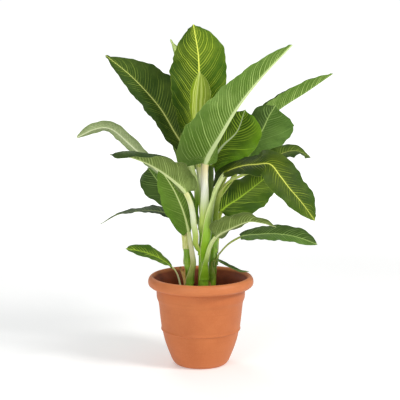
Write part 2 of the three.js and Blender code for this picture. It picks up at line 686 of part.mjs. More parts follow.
const material = (color, roughness) => new THREE.MeshStandardMaterial({ color, roughness, metalness: 0 });
const materials = {
  clay: material(colours.clay, 0.75),
  soil: material(colours.soil, 0.95),
  cane: material(colours.cane, 0.5),
  dry: material(colours.dry, 0.85),
  leaf: material(colours.leaf, 0.45),
  youngLeaf: material(colours.youngLeaf, 0.45),
};

const plant = new THREE.Group();
plant.name = 'potted_dieffenbachia';

function addMesh(name, geometry, finish) {
  const mesh = new THREE.Mesh(geometry, finish);
  mesh.name = name;
  plant.add(mesh);
  return mesh;
}

// A cane a little thicker and deeper, which is the hole it stands in.
function caneHole(cane) {
  const [[x, y, z], ...rest] = cane.axis;
  return caneGeometry({ axis: [[x, y, z - fitGap], ...rest], radius: cane.radius.map((r) => r + fitGap) });
}

addMesh('pot', potGeometry(), materials.clay);
for (const cane of Object.values(canes)) addMesh(cane.name, caneGeometry(cane), materials.cane);
const sucker = new Leaf(leaves.find((spec) => spec.cane === null));
addMesh('soil', soilGeometry([...Object.values(canes).map(caneHole), sucker.footHole()]), materials.soil);

for (const spec of leaves) {
  const finish = spec.name === 'leaf_young_rolled' ? materials.youngLeaf : materials.leaf;
  addMesh(spec.name, new Leaf(spec).geometry(), finish);
}

for (const base of dryBases) addMesh(base.name, dryBaseGeometry(base), materials.dry);

export default plant;
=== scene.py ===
import math
import random

import bpy
import numpy as np
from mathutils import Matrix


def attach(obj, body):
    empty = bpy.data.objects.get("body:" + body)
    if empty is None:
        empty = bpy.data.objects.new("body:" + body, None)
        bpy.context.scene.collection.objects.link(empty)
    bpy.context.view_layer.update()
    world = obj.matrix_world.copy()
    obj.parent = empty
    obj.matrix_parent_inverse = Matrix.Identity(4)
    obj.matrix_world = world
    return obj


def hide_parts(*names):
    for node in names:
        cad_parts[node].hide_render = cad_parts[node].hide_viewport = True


# A potted dieffenbachia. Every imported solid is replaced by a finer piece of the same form.
# Sizes are millimetres here, and become metres when a piece's mesh is made.

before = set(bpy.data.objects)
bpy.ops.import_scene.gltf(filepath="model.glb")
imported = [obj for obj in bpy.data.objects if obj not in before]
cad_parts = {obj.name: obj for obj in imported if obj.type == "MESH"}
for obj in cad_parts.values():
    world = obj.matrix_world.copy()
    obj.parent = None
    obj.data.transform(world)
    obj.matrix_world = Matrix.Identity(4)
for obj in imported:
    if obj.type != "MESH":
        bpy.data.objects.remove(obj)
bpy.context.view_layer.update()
mm = 0.001
fitGap = 0.4

# The camera stands where the photo was taken from; down is its tilt in degrees.
camera = dict(place=(-1.8, -2600, 760), down=8.3, focalPixels=1156, imagePixels=400)

lights = [
    dict(name="keyLight", place=(2200, -1400, 2250), aim=(0, 0, 380), size=1000, power=60,
         colour=(1, 0.98, 0.95)),
    dict(name="fillLight", place=(-1200, -2300, 1200), aim=(0, 0, 380), size=1500, power=20,
         colour=(0.98, 0.99, 1)),
    dict(name="backLight", place=(-700, 1700, 1900), aim=(0, 0, 450), size=1200, power=12,
         colour=(1, 1, 0.97)),
]

# The floor's own glow is glowNear up to glowFrom, and glowFar beyond glowTo.
floorLook = dict(paint=(0.93, 0.93, 0.93, 1), roughness=0.9, specular=0.1, reach=30000,
                 glowNear=0.22, glowFar=0.8, glowFrom=1100, glowTo=3000)

# light is how strongly the sky lights the plant, and seen how bright the camera sees it.
skyLook = dict(colour=(0.97, 0.99, 1, 1), light=0.44, seen=1.05)


def aimed(place, aim):
    way = np.array(aim, float) - np.array(place, float)
    level = math.hypot(way[0], way[1])
    return (math.pi / 2 + math.atan2(way[2], level), 0, -math.atan2(way[0], way[1]))


def addObject(name, data):
    made = bpy.data.objects.new(name, data)
    bpy.context.scene.collection.objects.link(made)
    return made


def addCamera(spec):
    data = bpy.data.cameras.new("camera")
    data.lens = spec["focalPixels"] / spec["imagePixels"] * data.sensor_width
    data.clip_end = 100
    made = addObject("camera", data)
    made.location = [v * mm for v in spec["place"]]
    made.rotation_euler = (math.radians(90 - spec["down"]), 0, 0)
    bpy.context.scene.camera = made


def addLight(spec):
    data = bpy.data.lights.new(spec["name"], "AREA")
    data.shape = "DISK"
    data.size = spec["size"] * mm
    data.energy = spec["power"]
    data.color = spec["colour"]
    made = addObject(spec["name"], data)
    made.location = [v * mm for v in spec["place"]]
    made.rotation_euler = aimed(spec["place"], spec["aim"])


def addWorld():
    world = bpy.data.worlds.new("softDaylight")
    world.use_nodes = True
    nodes, links = world.node_tree.nodes, world.node_tree.links
    background = nodes["Background"]
    background.inputs["Color"].default_value = skyLook["colour"]
    # The sky lights the plant softly and is seen white above the floor.
    path = nodes.new("ShaderNodeLightPath")
    strength = nodes.new("ShaderNodeMapRange")
    strength.inputs["To Min"].default_value = skyLook["light"]
    strength.inputs["To Max"].default_value = skyLook["seen"]
    links.new(path.outputs["Is Camera Ray"], strength.inputs["Value"])
    links.new(strength.outputs["Result"], background.inputs["Strength"])
    bpy.context.scene.world = world
    bpy.context.scene.view_settings.view_transform = "Standard"


def makeMesh(name, points, faces, materials, kinds=None, values=None):
    # points are millimetres; kinds gives each face's material, values the numbers kept at each point.
    mesh = bpy.data.meshes.new(name)
    mesh.from_pydata((np.asarray(points, float) * mm).tolist(), [], faces)
    for material in materials:
        mesh.materials.append(material)
    if kinds is not None:
        mesh.polygons.foreach_set("material_index", kinds)
    mesh.polygons.foreach_set("use_smooth", [True] * len(mesh.polygons))
    for key, numbers in (values or {}).items():
        mesh.attributes.new(key, "FLOAT", "POINT").data.foreach_set("value", np.asarray(numbers, np.float32))
    mesh.update()
    return addObject(name, mesh)


def standFor(piece, node):
    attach(piece, "root")
    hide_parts(node)


def sharpen(piece, degrees):
    piece.data.set_sharp_from_angle(angle=math.radians(degrees))


def ringFaces(ringCount, size):
    # Quads between rings of equal size, each ring closed on itself, with a strip of quads over both ends.
    faces = []
    for r in range(ringCount - 1):
        for k in range(size):
            a, b = r * size + k, r * size + (k + 1) % size
            faces.append((a, b, b + size, a + size))
    last = (ringCount - 1) * size
    for k in range(size // 2 - 1):
        corners = (k, k + 1, size - 2 - k, size - 1 - k)
        faces.append(corners[::-1])
        faces.append(tuple(last + c for c in corners))
    return faces


def unit(v):
    return v / np.linalg.norm(v, axis=-1, keepdims=True)


def mix(a, b, t):
    return a + (b - a) * t


def smooth(t):
    t = np.clip(t, 0, 1)
    return t * t * (3 - 2 * t)


def throughPoints(points, count):
    # A centripetal curve through the points, which runs straight on at its two ends.
    given = np.array(points, float)
    full = np.vstack([2 * given[0] - given[1], given, 2 * given[-1] - given[-2]])
    t = np.linspace(0, len(given) - 1, count + 1)
    i = np.minimum(t.astype(int), len(given) - 2)
    w = (t - i)[:, None]
    a, b, c, d = full[i], full[i + 1], full[i + 2], full[i + 3]
    pairs = ((a, b), (b, c), (c, d))
    gapA, gapB, gapC = (np.sqrt(np.linalg.norm(q - p, axis=1))[:, None] for p, q in pairs)
    slopeB = ((b - a) / gapA - (c - a) / (gapA + gapB) + (c - b) / gapB) * gapB
    slopeC = ((c - b) / gapB - (d - b) / (gapB + gapC) + (d - c) / gapC) * gapB
    return (b + w * slopeB + w ** 2 * (3 * (c - b) - 2 * slopeB - slopeC)
            + w ** 3 * (2 * (b - c) + slopeB + slopeC))


class Tree:
    # A node tree with short calls for what the patterns below are made of.
    def __init__(self, tree):
        self.tree = tree

    def put(self, socket, value):
        if isinstance(value, bpy.types.NodeSocket):
            self.tree.links.new(value, socket)
        else:
            socket.default_value = value

    def add(self, kind, values=(), **settings):
        node = self.tree.nodes.new("ShaderNode" + kind)
        for key, value in settings.items():
            setattr(node, key, value)
        for key, value in dict(values).items():
            self.put(node.inputs[key], value)
        return node

    def math(self, operation, a, b=0.0, clamp=False):
        return self.add("Math", {0: a, 1: b}, operation=operation, use_clamp=clamp).outputs[0]

    def times(self, a, b, clamp=False):
        return self.math("MULTIPLY", a, b, clamp)

    def plus(self, a, b, clamp=False):
        return self.math("ADD", a, b, clamp)

    def minus(self, a, b):
        return self.math("SUBTRACT", a, b)

    def step(self, value, low, high, fromValue=0.0, toValue=1.0):
        # Eases from fromValue at low to toValue at high.
        inputs = {"Value": value, "From Min": low, "From Max": high, "To Min": fromValue, "To Max": toValue}
        return self.add("MapRange", inputs, interpolation_type="SMOOTHSTEP").outputs["Result"]

    def blend(self, share, a, b):
        return self.add("Mix", {0: share, 6: a, 7: b}, data_type="RGBA").outputs[2]

    def tint(self, colour, paint, source, low, high, fromShare=0.0, toShare=1.0):
        # Lays paint over a colour, by how far source has come from low to high.
        return self.blend(self.step(source, low, high, fromShare, toShare), colour, paint)

    def layers(self, colour, paints, rows):
        # Lays one named paint after another over a colour.
        for name, *spread in rows:
            colour = self.tint(colour, paints[name], *spread)
        return colour

    def noise(self, vector, scale, detail=3.0, rough=0.55):
        inputs = {"Vector": vector, "Scale": scale, "Detail": detail, "Roughness": rough}
        return self.add("TexNoise", inputs).outputs["Fac"]

    def kept(self, name):
        return self.add("Attribute", attribute_name=name).outputs["Fac"]

    def point(self, x, y, z=0.0):
        return self.add("CombineXYZ", {0: x, 1: y, 2: z}).outputs[0]

    def place(self):
        return self.add("TexCoord").outputs["Object"]


def srgb(red, green, blue):
    def linear(v):
        return v / 12.92 if v <= 0.04045 else ((v + 0.055) / 1.055) ** 2.4
    return (linear(red / 255), linear(green / 255), linear(blue / 255), 1)


patternOutputs = {"Color": "Color", "Roughness": "Float", "Height": "Float"}


def newGroup(name, inputs):
    # A pattern's empty group, its node tree, and the sockets that it is given and gives back.
    group = bpy.data.node_groups.new(name, "ShaderNodeTree")
    for label, value in inputs.items():
        kind = "Color" if isinstance(value, tuple) else "Float"
        socket = group.interface.new_socket(label, in_out="INPUT", socket_type="NodeSocket" + kind)
        socket.default_value = value
    for label, kind in patternOutputs.items():
        group.interface.new_socket(label, in_out="OUTPUT", socket_type="NodeSocket" + kind)
    source = group.nodes.new("NodeGroupInput")
    result = group.nodes.new("NodeGroupOutput")
    return group, Tree(group), source.outputs, result.inputs


def newMaterial(name, group, finish, values=()):
    # Colour, roughness and relief come from the group. finish says how strong relief and reflection are.
    material = bpy.data.materials.new(name)
    material.use_nodes = True
    tree = Tree(material.node_tree)
    shader = material.node_tree.nodes["Principled BSDF"]
    shader.inputs["Specular IOR Level"].default_value = finish["specular"]
    pattern = tree.add("Group", node_tree=group)
    for key, value in dict(values).items():
        pattern.inputs[key].default_value = value
    height = pattern.outputs["Height"]
    relief = tree.add("Bump", {"Height": height, "Strength": 1.0, "Distance": finish["relief"] * mm})
    tree.put(shader.inputs["Base Color"], pattern.outputs["Color"])
    tree.put(shader.inputs["Roughness"], pattern.outputs["Roughness"])
    tree.put(shader.inputs["Normal"], relief.outputs["Normal"])
    return material


def makeLeafGroup():
    # Pale stripes along the side veins, a pale midrib, and a green that varies between them, with painted
    # light and shade that make one half of the blade lighter than the other.
    inputs = {"Rib Share": plainRibShare, "Halo": 0.3, "Left Painted Light": 1.0, "Right Painted Light": 1.0,
              "Base Value": 1.0, "Tip Value": 1.0, "Gloss": leafGloss["upper"]}
    group, tree, given, result = newGroup("leafPattern", {**leafLooks["soft"][0], **inputs})
    phase, signed, gap = (tree.kept(k) for k in ("veinPhase", "leafReach", "ribGap"))
    place = tree.place()
    reach = tree.math("ABSOLUTE", signed)

    # One number for each side vein, and how far this place is from its line.
    wander = tree.times(tree.minus(tree.noise(place, 60, 2), 0.5), 0.3)
    bent = tree.plus(phase, wander)
    which = tree.math("FLOOR", tree.plus(bent, 0.5))
    off = tree.math("ABSOLUTE", tree.minus(bent, which))
    luck = tree.add("TexWhiteNoise", {"W": which}, noise_dimensions="1D").outputs["Value"]
    shifted = tree.plus(which, 0.37)
    luckier = tree.add("TexWhiteNoise", {"W": shifted}, noise_dimensions="1D").outputs["Value"]

    taper = tree.times(tree.step(reach, 0.0, 1.0, 1.25, 0.5), tree.step(luck, 0, 1, 0.55, 1.45))
    width = tree.times(given["Stripe Width"], taper)
    line = tree.step(off, tree.times(width, 0.3), tree.times(width, 1.2), 1.0, 0.0)
    ends = tree.times(given["Stripe Reach"], tree.step(luckier, 0, 1, 0.5, 1.2))
    fade = tree.step(reach, tree.times(ends, 0.5), ends, 1.0, 0.0)
    strong = tree.times(given["Stripe Strength"], tree.step(luckier, 0, 1, 0.4, 1.15))
    stripe = tree.times(tree.times(line, fade), strong, clamp=True)

    wave = tree.math("COSINE", tree.times(bent, 6 * math.pi))
    fineFade = tree.times(given["Fine Stripes"], tree.step(reach, 0.55, 1.0, 1.0, 0.15))
    fine = tree.times(tree.step(wave, 0.2, 1.0), fineFade)

    streaks = tree.noise(tree.point(tree.times(bent, 2.5), tree.times(signed, 2.0)), 1.6, 4)
    clouds = tree.noise(place, 16, 3)
    green = tree.tint(given["Green"], given["Margin"], reach, 0.4, 1.0)
    darker = tree.blend(0.4, green, (0, 0.012, 0, 1))
    green = tree.tint(green, darker, streaks, 0.35, 0.7, 0.0, 0.8)
    green = tree.tint(green, given["Stripe"], clouds, 0.4, 0.75, 0.0, 0.2)
    # Painted light and shade: the left and right halves of the blade are made lighter or darker.
    side = tree.step(signed, -0.02, 0.02)
    value = tree.plus(tree.times(side, given["Right Painted Light"]),
                      tree.times(tree.minus(1.0, side), given["Left Painted Light"]))
    along = tree.kept("leafAlong")
    value = tree.times(value, tree.step(along, 0.1, 0.55, given["Base Value"], 1.0))
    value = tree.times(value, tree.step(along, 0.5, 1.0, 1.0, given["Tip Value"]))
    green = tree.add("HueSaturation", {"Value": value, "Color": green}).outputs["Color"]
    green = tree.blend(fine, green, given["Stripe"])
    green = tree.tint(green, given["Stripe"], gap, 0.0, 3.5, given["Halo"], 0.0)
    green = tree.blend(stripe, green, given["Stripe"])
    ribEdge = tree.minus(given["Rib Share"], 1.0)
    rib = tree.step(gap, tree.minus(ribEdge, 0.12), tree.plus(ribEdge, 0.12), 1.0, 0.0)
    green = tree.blend(rib, green, given["Rib"])
    rim = tree.step(reach, 0.97, 1.0, 0.0, 0.3)
    tree.put(result["Color"], tree.blend(rim, green, given["Stripe"]))

    dull = tree.times(tree.noise(place, 90, 3), 0.16)
    tree.put(result["Roughness"], tree.plus(given["Gloss"], dull))
    relief = tree.plus(tree.times(line, -0.5), tree.times(wave, 0.12))
    relief = tree.plus(relief, tree.times(tree.noise(place, 900, 2), 0.18))
    tree.put(result["Height"], tree.times(relief, tree.step(gap, 0.0, 4.0, 0.1, 1.0)))
    return group


def makeStalkGroup():
    # Long streaks over a colour that changes from the foot to the blade, with a paler line at either margin.
    group, tree, given, result = newGroup("stalkPattern", {**stalkLooks["olive"], "Gloss": 0.34})
    around, along = tree.kept("leafReach"), tree.kept("leafAlong")
    place = tree.place()
    lines = tree.noise(tree.point(tree.times(around, 7.0), tree.times(along, 2.2)), 2.0, 5)
    patches = tree.noise(place, 35, 3)
    shift = tree.plus(along, tree.times(tree.minus(lines, 0.5), 0.3))
    colour = tree.layers(given["Foot"], given, (
        ("Low", shift, -0.98, -0.72), ("Middle", shift, -0.7, -0.35), ("Top", shift, -0.35, -0.02)))
    share = tree.times(tree.step(lines, 0.42, 0.68), given["Streaks"])
    colour = tree.blend(share, colour, given["Streak"])
    share = tree.times(tree.step(patches, 0.5, 0.8), 0.3)
    colour = tree.blend(share, colour, given["Streak"])
    edge = tree.step(tree.math("ABSOLUTE", around), 0.8, 0.98, 0.0, 0.7)
    edge = tree.times(edge, tree.step(along, -0.6, -0.2, 1.0, 0.0))
    tree.put(result["Color"], tree.blend(edge, colour, given["Edge"]))
    tree.put(result["Roughness"], tree.plus(given["Gloss"], tree.times(patches, 0.15)))
    tree.put(result["Height"], tree.plus(lines, tree.times(tree.noise(place, 700, 2), 0.2)))
    return group


leafFinish = dict(relief=0.35, specular=0.12)
stalkFinish = dict(relief=0.25, specular=0.4)


def leafSide(green, margin, stripe, rib, stripes):
    # stripes is their width, strength and reach, and the strength of the fine ones between them.
    side = {"Green": srgb(*green), "Margin": srgb(*margin), "Stripe": srgb(*stripe), "Rib": srgb(*rib)}
    side.update(zip(("Stripe Width", "Stripe Strength", "Stripe Reach", "Fine Stripes"), stripes))
    return side


# Each leaf's upper side, then its under side: green, margin, stripe and rib colours, then the stripes.
leafLooks = {
    "lively": [
        leafSide((62, 94, 6), (54, 88, 10), (164, 184, 56), (246, 250, 110), (0.19, 1.0, 1.1, 0.12)),
        leafSide((104, 132, 56), (96, 124, 52), (158, 178, 100), (186, 200, 130), (0.2, 0.6, 0.9, 0.2))],
    "young": [
        leafSide((140, 166, 14), (116, 144, 4), (220, 232, 128), (226, 236, 160), (0.26, 0.85, 1.6, 0.3)),
        leafSide((146, 172, 30), (122, 150, 16), (222, 234, 140), (228, 236, 170), (0.3, 0.85, 1.6, 0.3))],
    "soft": [
        leafSide((54, 84, 24), (46, 74, 24), (140, 164, 74), (190, 206, 110), (0.15, 0.7, 0.9, 0.2)),
        leafSide((86, 120, 34), (98, 132, 50), (168, 194, 108), (196, 212, 150), (0.16, 0.95, 1.25, 0.12))],
    "ashy": [
        leafSide((54, 84, 24), (46, 74, 24), (140, 164, 74), (190, 206, 110), (0.15, 0.7, 0.9, 0.2)),
        leafSide((144, 160, 108), (128, 146, 94), (178, 190, 142), (206, 214, 172), (0.15, 0.4, 1.1, 0.2))],
    "glow": [
        leafSide((52, 80, 6), (78, 116, 0), (136, 166, 46), (180, 196, 146), (0.2, 0.95, 0.95, 0.1)),
        leafSide((96, 130, 30), (90, 124, 26), (158, 180, 100), (186, 200, 140), (0.2, 0.7, 0.9, 0.15))],
    "deep": [
        leafSide((54, 80, 20), (50, 74, 24), (134, 154, 58), (216, 222, 128), (0.12, 0.8, 0.85, 0.06)),
        leafSide((92, 112, 62), (86, 106, 60), (142, 160, 100), (176, 190, 120), (0.16, 0.6, 0.9, 0.15))],
    "grey": [
        leafSide((48, 74, 24), (44, 66, 24), (116, 138, 64), (180, 196, 110), (0.15, 0.6, 0.8, 0.15)),
        leafSide((98, 118, 50), (90, 108, 50), (162, 182, 106), (196, 208, 146), (0.17, 0.85, 1.1, 0.12))],
    "leafy": [
        leafSide((54, 84, 24), (46, 74, 24), (130, 154, 64), (190, 206, 110), (0.15, 0.7, 0.9, 0.2)),
        leafSide((78, 110, 26), (88, 124, 32), (128, 154, 70), (192, 206, 134), (0.13, 0.7, 0.95, 0.2))],
    "fresh": [
        leafSide((70, 100, 34), (78, 108, 44), (130, 160, 84), (184, 210, 120), (0.14, 0.8, 1.1, 0.25)),
        leafSide((92, 120, 58), (86, 114, 54), (142, 166, 100), (172, 192, 124), (0.16, 0.6, 0.9, 0.2))],
    "striped": [
        leafSide((56, 88, 18), (68, 100, 30), (154, 182, 58), (178, 214, 66), (0.17, 0.95, 0.85, 0.1)),
        leafSide((92, 120, 50), (86, 114, 50), (144, 166, 90), (176, 194, 116), (0.16, 0.6, 0.9, 0.15))],
    "gold": [
        leafSide((46, 70, 6), (54, 80, 18), (134, 152, 40), (226, 230, 104), (0.12, 0.75, 0.7, 0.06)),
        leafSide((96, 116, 52), (90, 110, 52), (150, 166, 92), (196, 202, 140), (0.16, 0.6, 0.9, 0.15))],
    "pale": [
        leafSide((140, 166, 74), (104, 134, 50), (200, 214, 140), (210, 222, 150), (0.3, 0.9, 0.9, 0.3)),
        leafSide((112, 138, 58), (104, 130, 54), (172, 190, 110), (198, 208, 140), (0.2, 0.8, 1.0, 0.2))],
}
leafGloss = {"upper": 0.42, "under": 0.5}
plainRibShare = 0.42

# How much of the upper midrib is pale, the painted light and shade that make the left and right halves
# lighter or darker, and how light the base and the tip are.
ribShares = {"lively": 0.75, "glow": 0.8, "fresh": 0.6, "soft": 0.5, "striped": 0.55}
paintedHalfLight = {"fresh": (0.66, 1.42), "deep": (1.08, 0.98), "glow": (0.85, 1.1), "leafy": (0.85, 1.14),
              "lively": (0.82, 1.25), "young": (1.12, 0.86)}
endValues = {"gold": (0.52, 1.36), "soft": (0.98, 0.9), "ashy": (0.95, 0.95), "glow": (0.8, 1.15)}


def stalkSide(foot, low, middle, top, streak, edge, streaks):
    colours = (foot, low, middle, top, streak, edge)
    look = {label: srgb(*c) for label, c in zip(("Foot", "Low", "Middle", "Top", "Streak", "Edge"), colours)}
    look["Streaks"] = streaks
    return look


# Stalk colours from foot to blade, the streaks and the margins, and how strong the streaks are.
stalkLooks = {
    "pale": stalkSide((150, 190, 40), (186, 210, 96), (228, 234, 200), (222, 218, 150),
                      (164, 194, 76), (232, 222, 150), 0.5),
    "fresh": stalkSide((128, 176, 24), (150, 196, 40), (214, 230, 150), (224, 230, 166),
                       (128, 172, 36), (236, 236, 170), 0.6),
    "olive": stalkSide((128, 168, 40), (156, 184, 66), (176, 190, 84), (160, 176, 70),
                       (108, 130, 36), (236, 226, 150), 0.5),
    "dark": stalkSide((130, 168, 44), (130, 156, 56), (96, 120, 40), (70, 92, 30),
                      (54, 76, 20), (110, 130, 50), 0.4),
    "tan": stalkSide((150, 196, 40), (190, 214, 90), (240, 242, 226), (228, 212, 152),
                     (204, 208, 150), (236, 228, 180), 0.5),
    "pink": stalkSide((116, 160, 34), (176, 194, 96), (216, 212, 166), (204, 212, 140),
                      (140, 160, 66), (232, 200, 160), 0.5),
}


def makeLeafMaterials():
    leafGroup = makeLeafGroup()
    stalkGroup = makeStalkGroup()
    made = {}
    for look, sides in leafLooks.items():
        for side, values in zip(("upper", "under"), sides):
            values["Gloss"] = leafGloss[side]
            values["Rib Share"] = 1.0 if side == "under" else ribShares.get(look, plainRibShare)
            # The painted light and shade of each half.
            values["Left Painted Light"], values["Right Painted Light"] = paintedHalfLight.get(look, (1, 1))
            values["Base Value"], values["Tip Value"] = endValues.get(look, (1, 1))
            made[look, side] = newMaterial(look + "_" + side, leafGroup, leafFinish, values)
    for look, values in stalkLooks.items():
        made[look, "stalk"] = newMaterial(look + "_stalk", stalkGroup, stalkFinish, values)
    return made


canes = {
    "left": dict(axis=[[-28, 2, 95], [-26, 2, 171], [-33, 8, 300], [-37, 10, 350]], radius=[10, 10, 8, 4.5]),
    "centre": dict(axis=[[6, -4, 90], [6, -4, 168], [6, -4, 266], [2, 8, 352]], radius=[12, 12, 10.5, 5]),
    "right": dict(axis=[[22, 24, 95], [24, 24, 161], [30, 26, 272], [34, 31, 365]],
                  radius=[10.5, 10.5, 9.5, 5]),
}
caneColours = dict(green=srgb(108, 156, 14), lightGreen=srgb(150, 194, 40), fleck=srgb(206, 226, 120),
                   bark=srgb(96, 88, 40), lightBark=srgb(150, 138, 76), scar=srgb(128, 134, 56))
caneShape = dict(sides=40, nodeSpacing=24, nodeSwell=0.7, scarSwell=0.12, scarHeight=1.3, step=2,
                 lumps=((0.12, 3, 0.07), (0.08, 5, -0.11)))


def caneAt(cane, z):
    # The axis point and radius at a height, going straight on past either end of the axis.
    axis = np.array(cane["axis"], float)
    i = int(np.clip(np.searchsorted(axis[:, 2], z), 1, len(axis) - 1))
    t = (z - axis[i - 1, 2]) / (axis[i, 2] - axis[i - 1, 2])
    radius = mix(cane["radius"][i - 1], cane["radius"][i], min(1, max(0, t)))
    return mix(axis[i - 1], axis[i], t), radius


def makeCaneMaterial():
    # Green stem with ring scars, brown near the soil, and pale lengthwise flecks.
    group, tree, given, result = newGroup("canePattern", {"Gloss": 0.28})
    place = tree.place()
    parts = tree.add("SeparateXYZ", {0: place}).outputs
    scar, height = tree.kept("scar"), parts[2]
    stretched = tree.add("VectorMath", {0: place, 1: (1, 1, 0.12)}, operation="MULTIPLY").outputs[0]
    flecks = tree.noise(stretched, 260, 4)
    patches = tree.noise(place, 40, 4, 0.6)
    colour = tree.layers(caneColours["green"], caneColours, (
        ("lightGreen", patches, 0.35, 0.65), ("fleck", flecks, 0.5, 0.68, 0, 0.55)))
    bark = tree.tint(caneColours["bark"], caneColours["lightBark"], flecks, 0.4, 0.6)
    nearSoil = tree.step(height, 0.163, 0.185, 0.8, 0.0)
    woody = tree.plus(nearSoil, tree.step(patches, 0.68, 0.8, 0, 0.35), clamp=True)
    colour = tree.blend(woody, colour, bark)
    tree.put(result["Color"], tree.blend(tree.times(scar, 0.3), colour, caneColours["scar"]))
    tree.put(result["Roughness"], tree.plus(given["Gloss"], tree.times(patches, 0.2)))
    tree.put(result["Height"], tree.plus(flecks, tree.times(scar, 0.3)))
    return newMaterial("cane", group, dict(relief=0.2, specular=0.5))


def makeCane(key, cane, material):
    bottom, top = cane["axis"][0][2], cane["axis"][-1][2]
    heights = np.linspace(bottom, top, int((top - bottom) / caneShape["step"]) + 1)
    angles = np.linspace(0, 2 * np.pi, caneShape["sides"], endpoint=False)
    points, scars = [], []
    spacing = (top - bottom) / round((top - bottom) / caneShape["nodeSpacing"])
    for z in heights:
        middle, radius = caneAt(cane, z)
        toNode = (z - bottom + spacing / 2) % spacing - spacing / 2
        scar = math.exp(-(toNode / caneShape["scarHeight"]) ** 2)
        lumps = sum(size * np.sin(count * angles + z * turn) for size, count, turn in caneShape["lumps"])
        reach = radius + caneShape["scarSwell"] * scar + lumps * (1 - scar)
        ring = np.stack([np.cos(angles) * reach, np.sin(angles) * reach, 0 * angles], 1) + middle
        points.append(ring)
        scars += [scar] * len(angles)
    faces = ringFaces(len(heights), len(angles))
    piece = makeMesh("stem_" + key, np.vstack(points), faces, [material], values={"scar": scars})
    sharpen(piece, 50)
    standFor(piece, "cane_" + key)


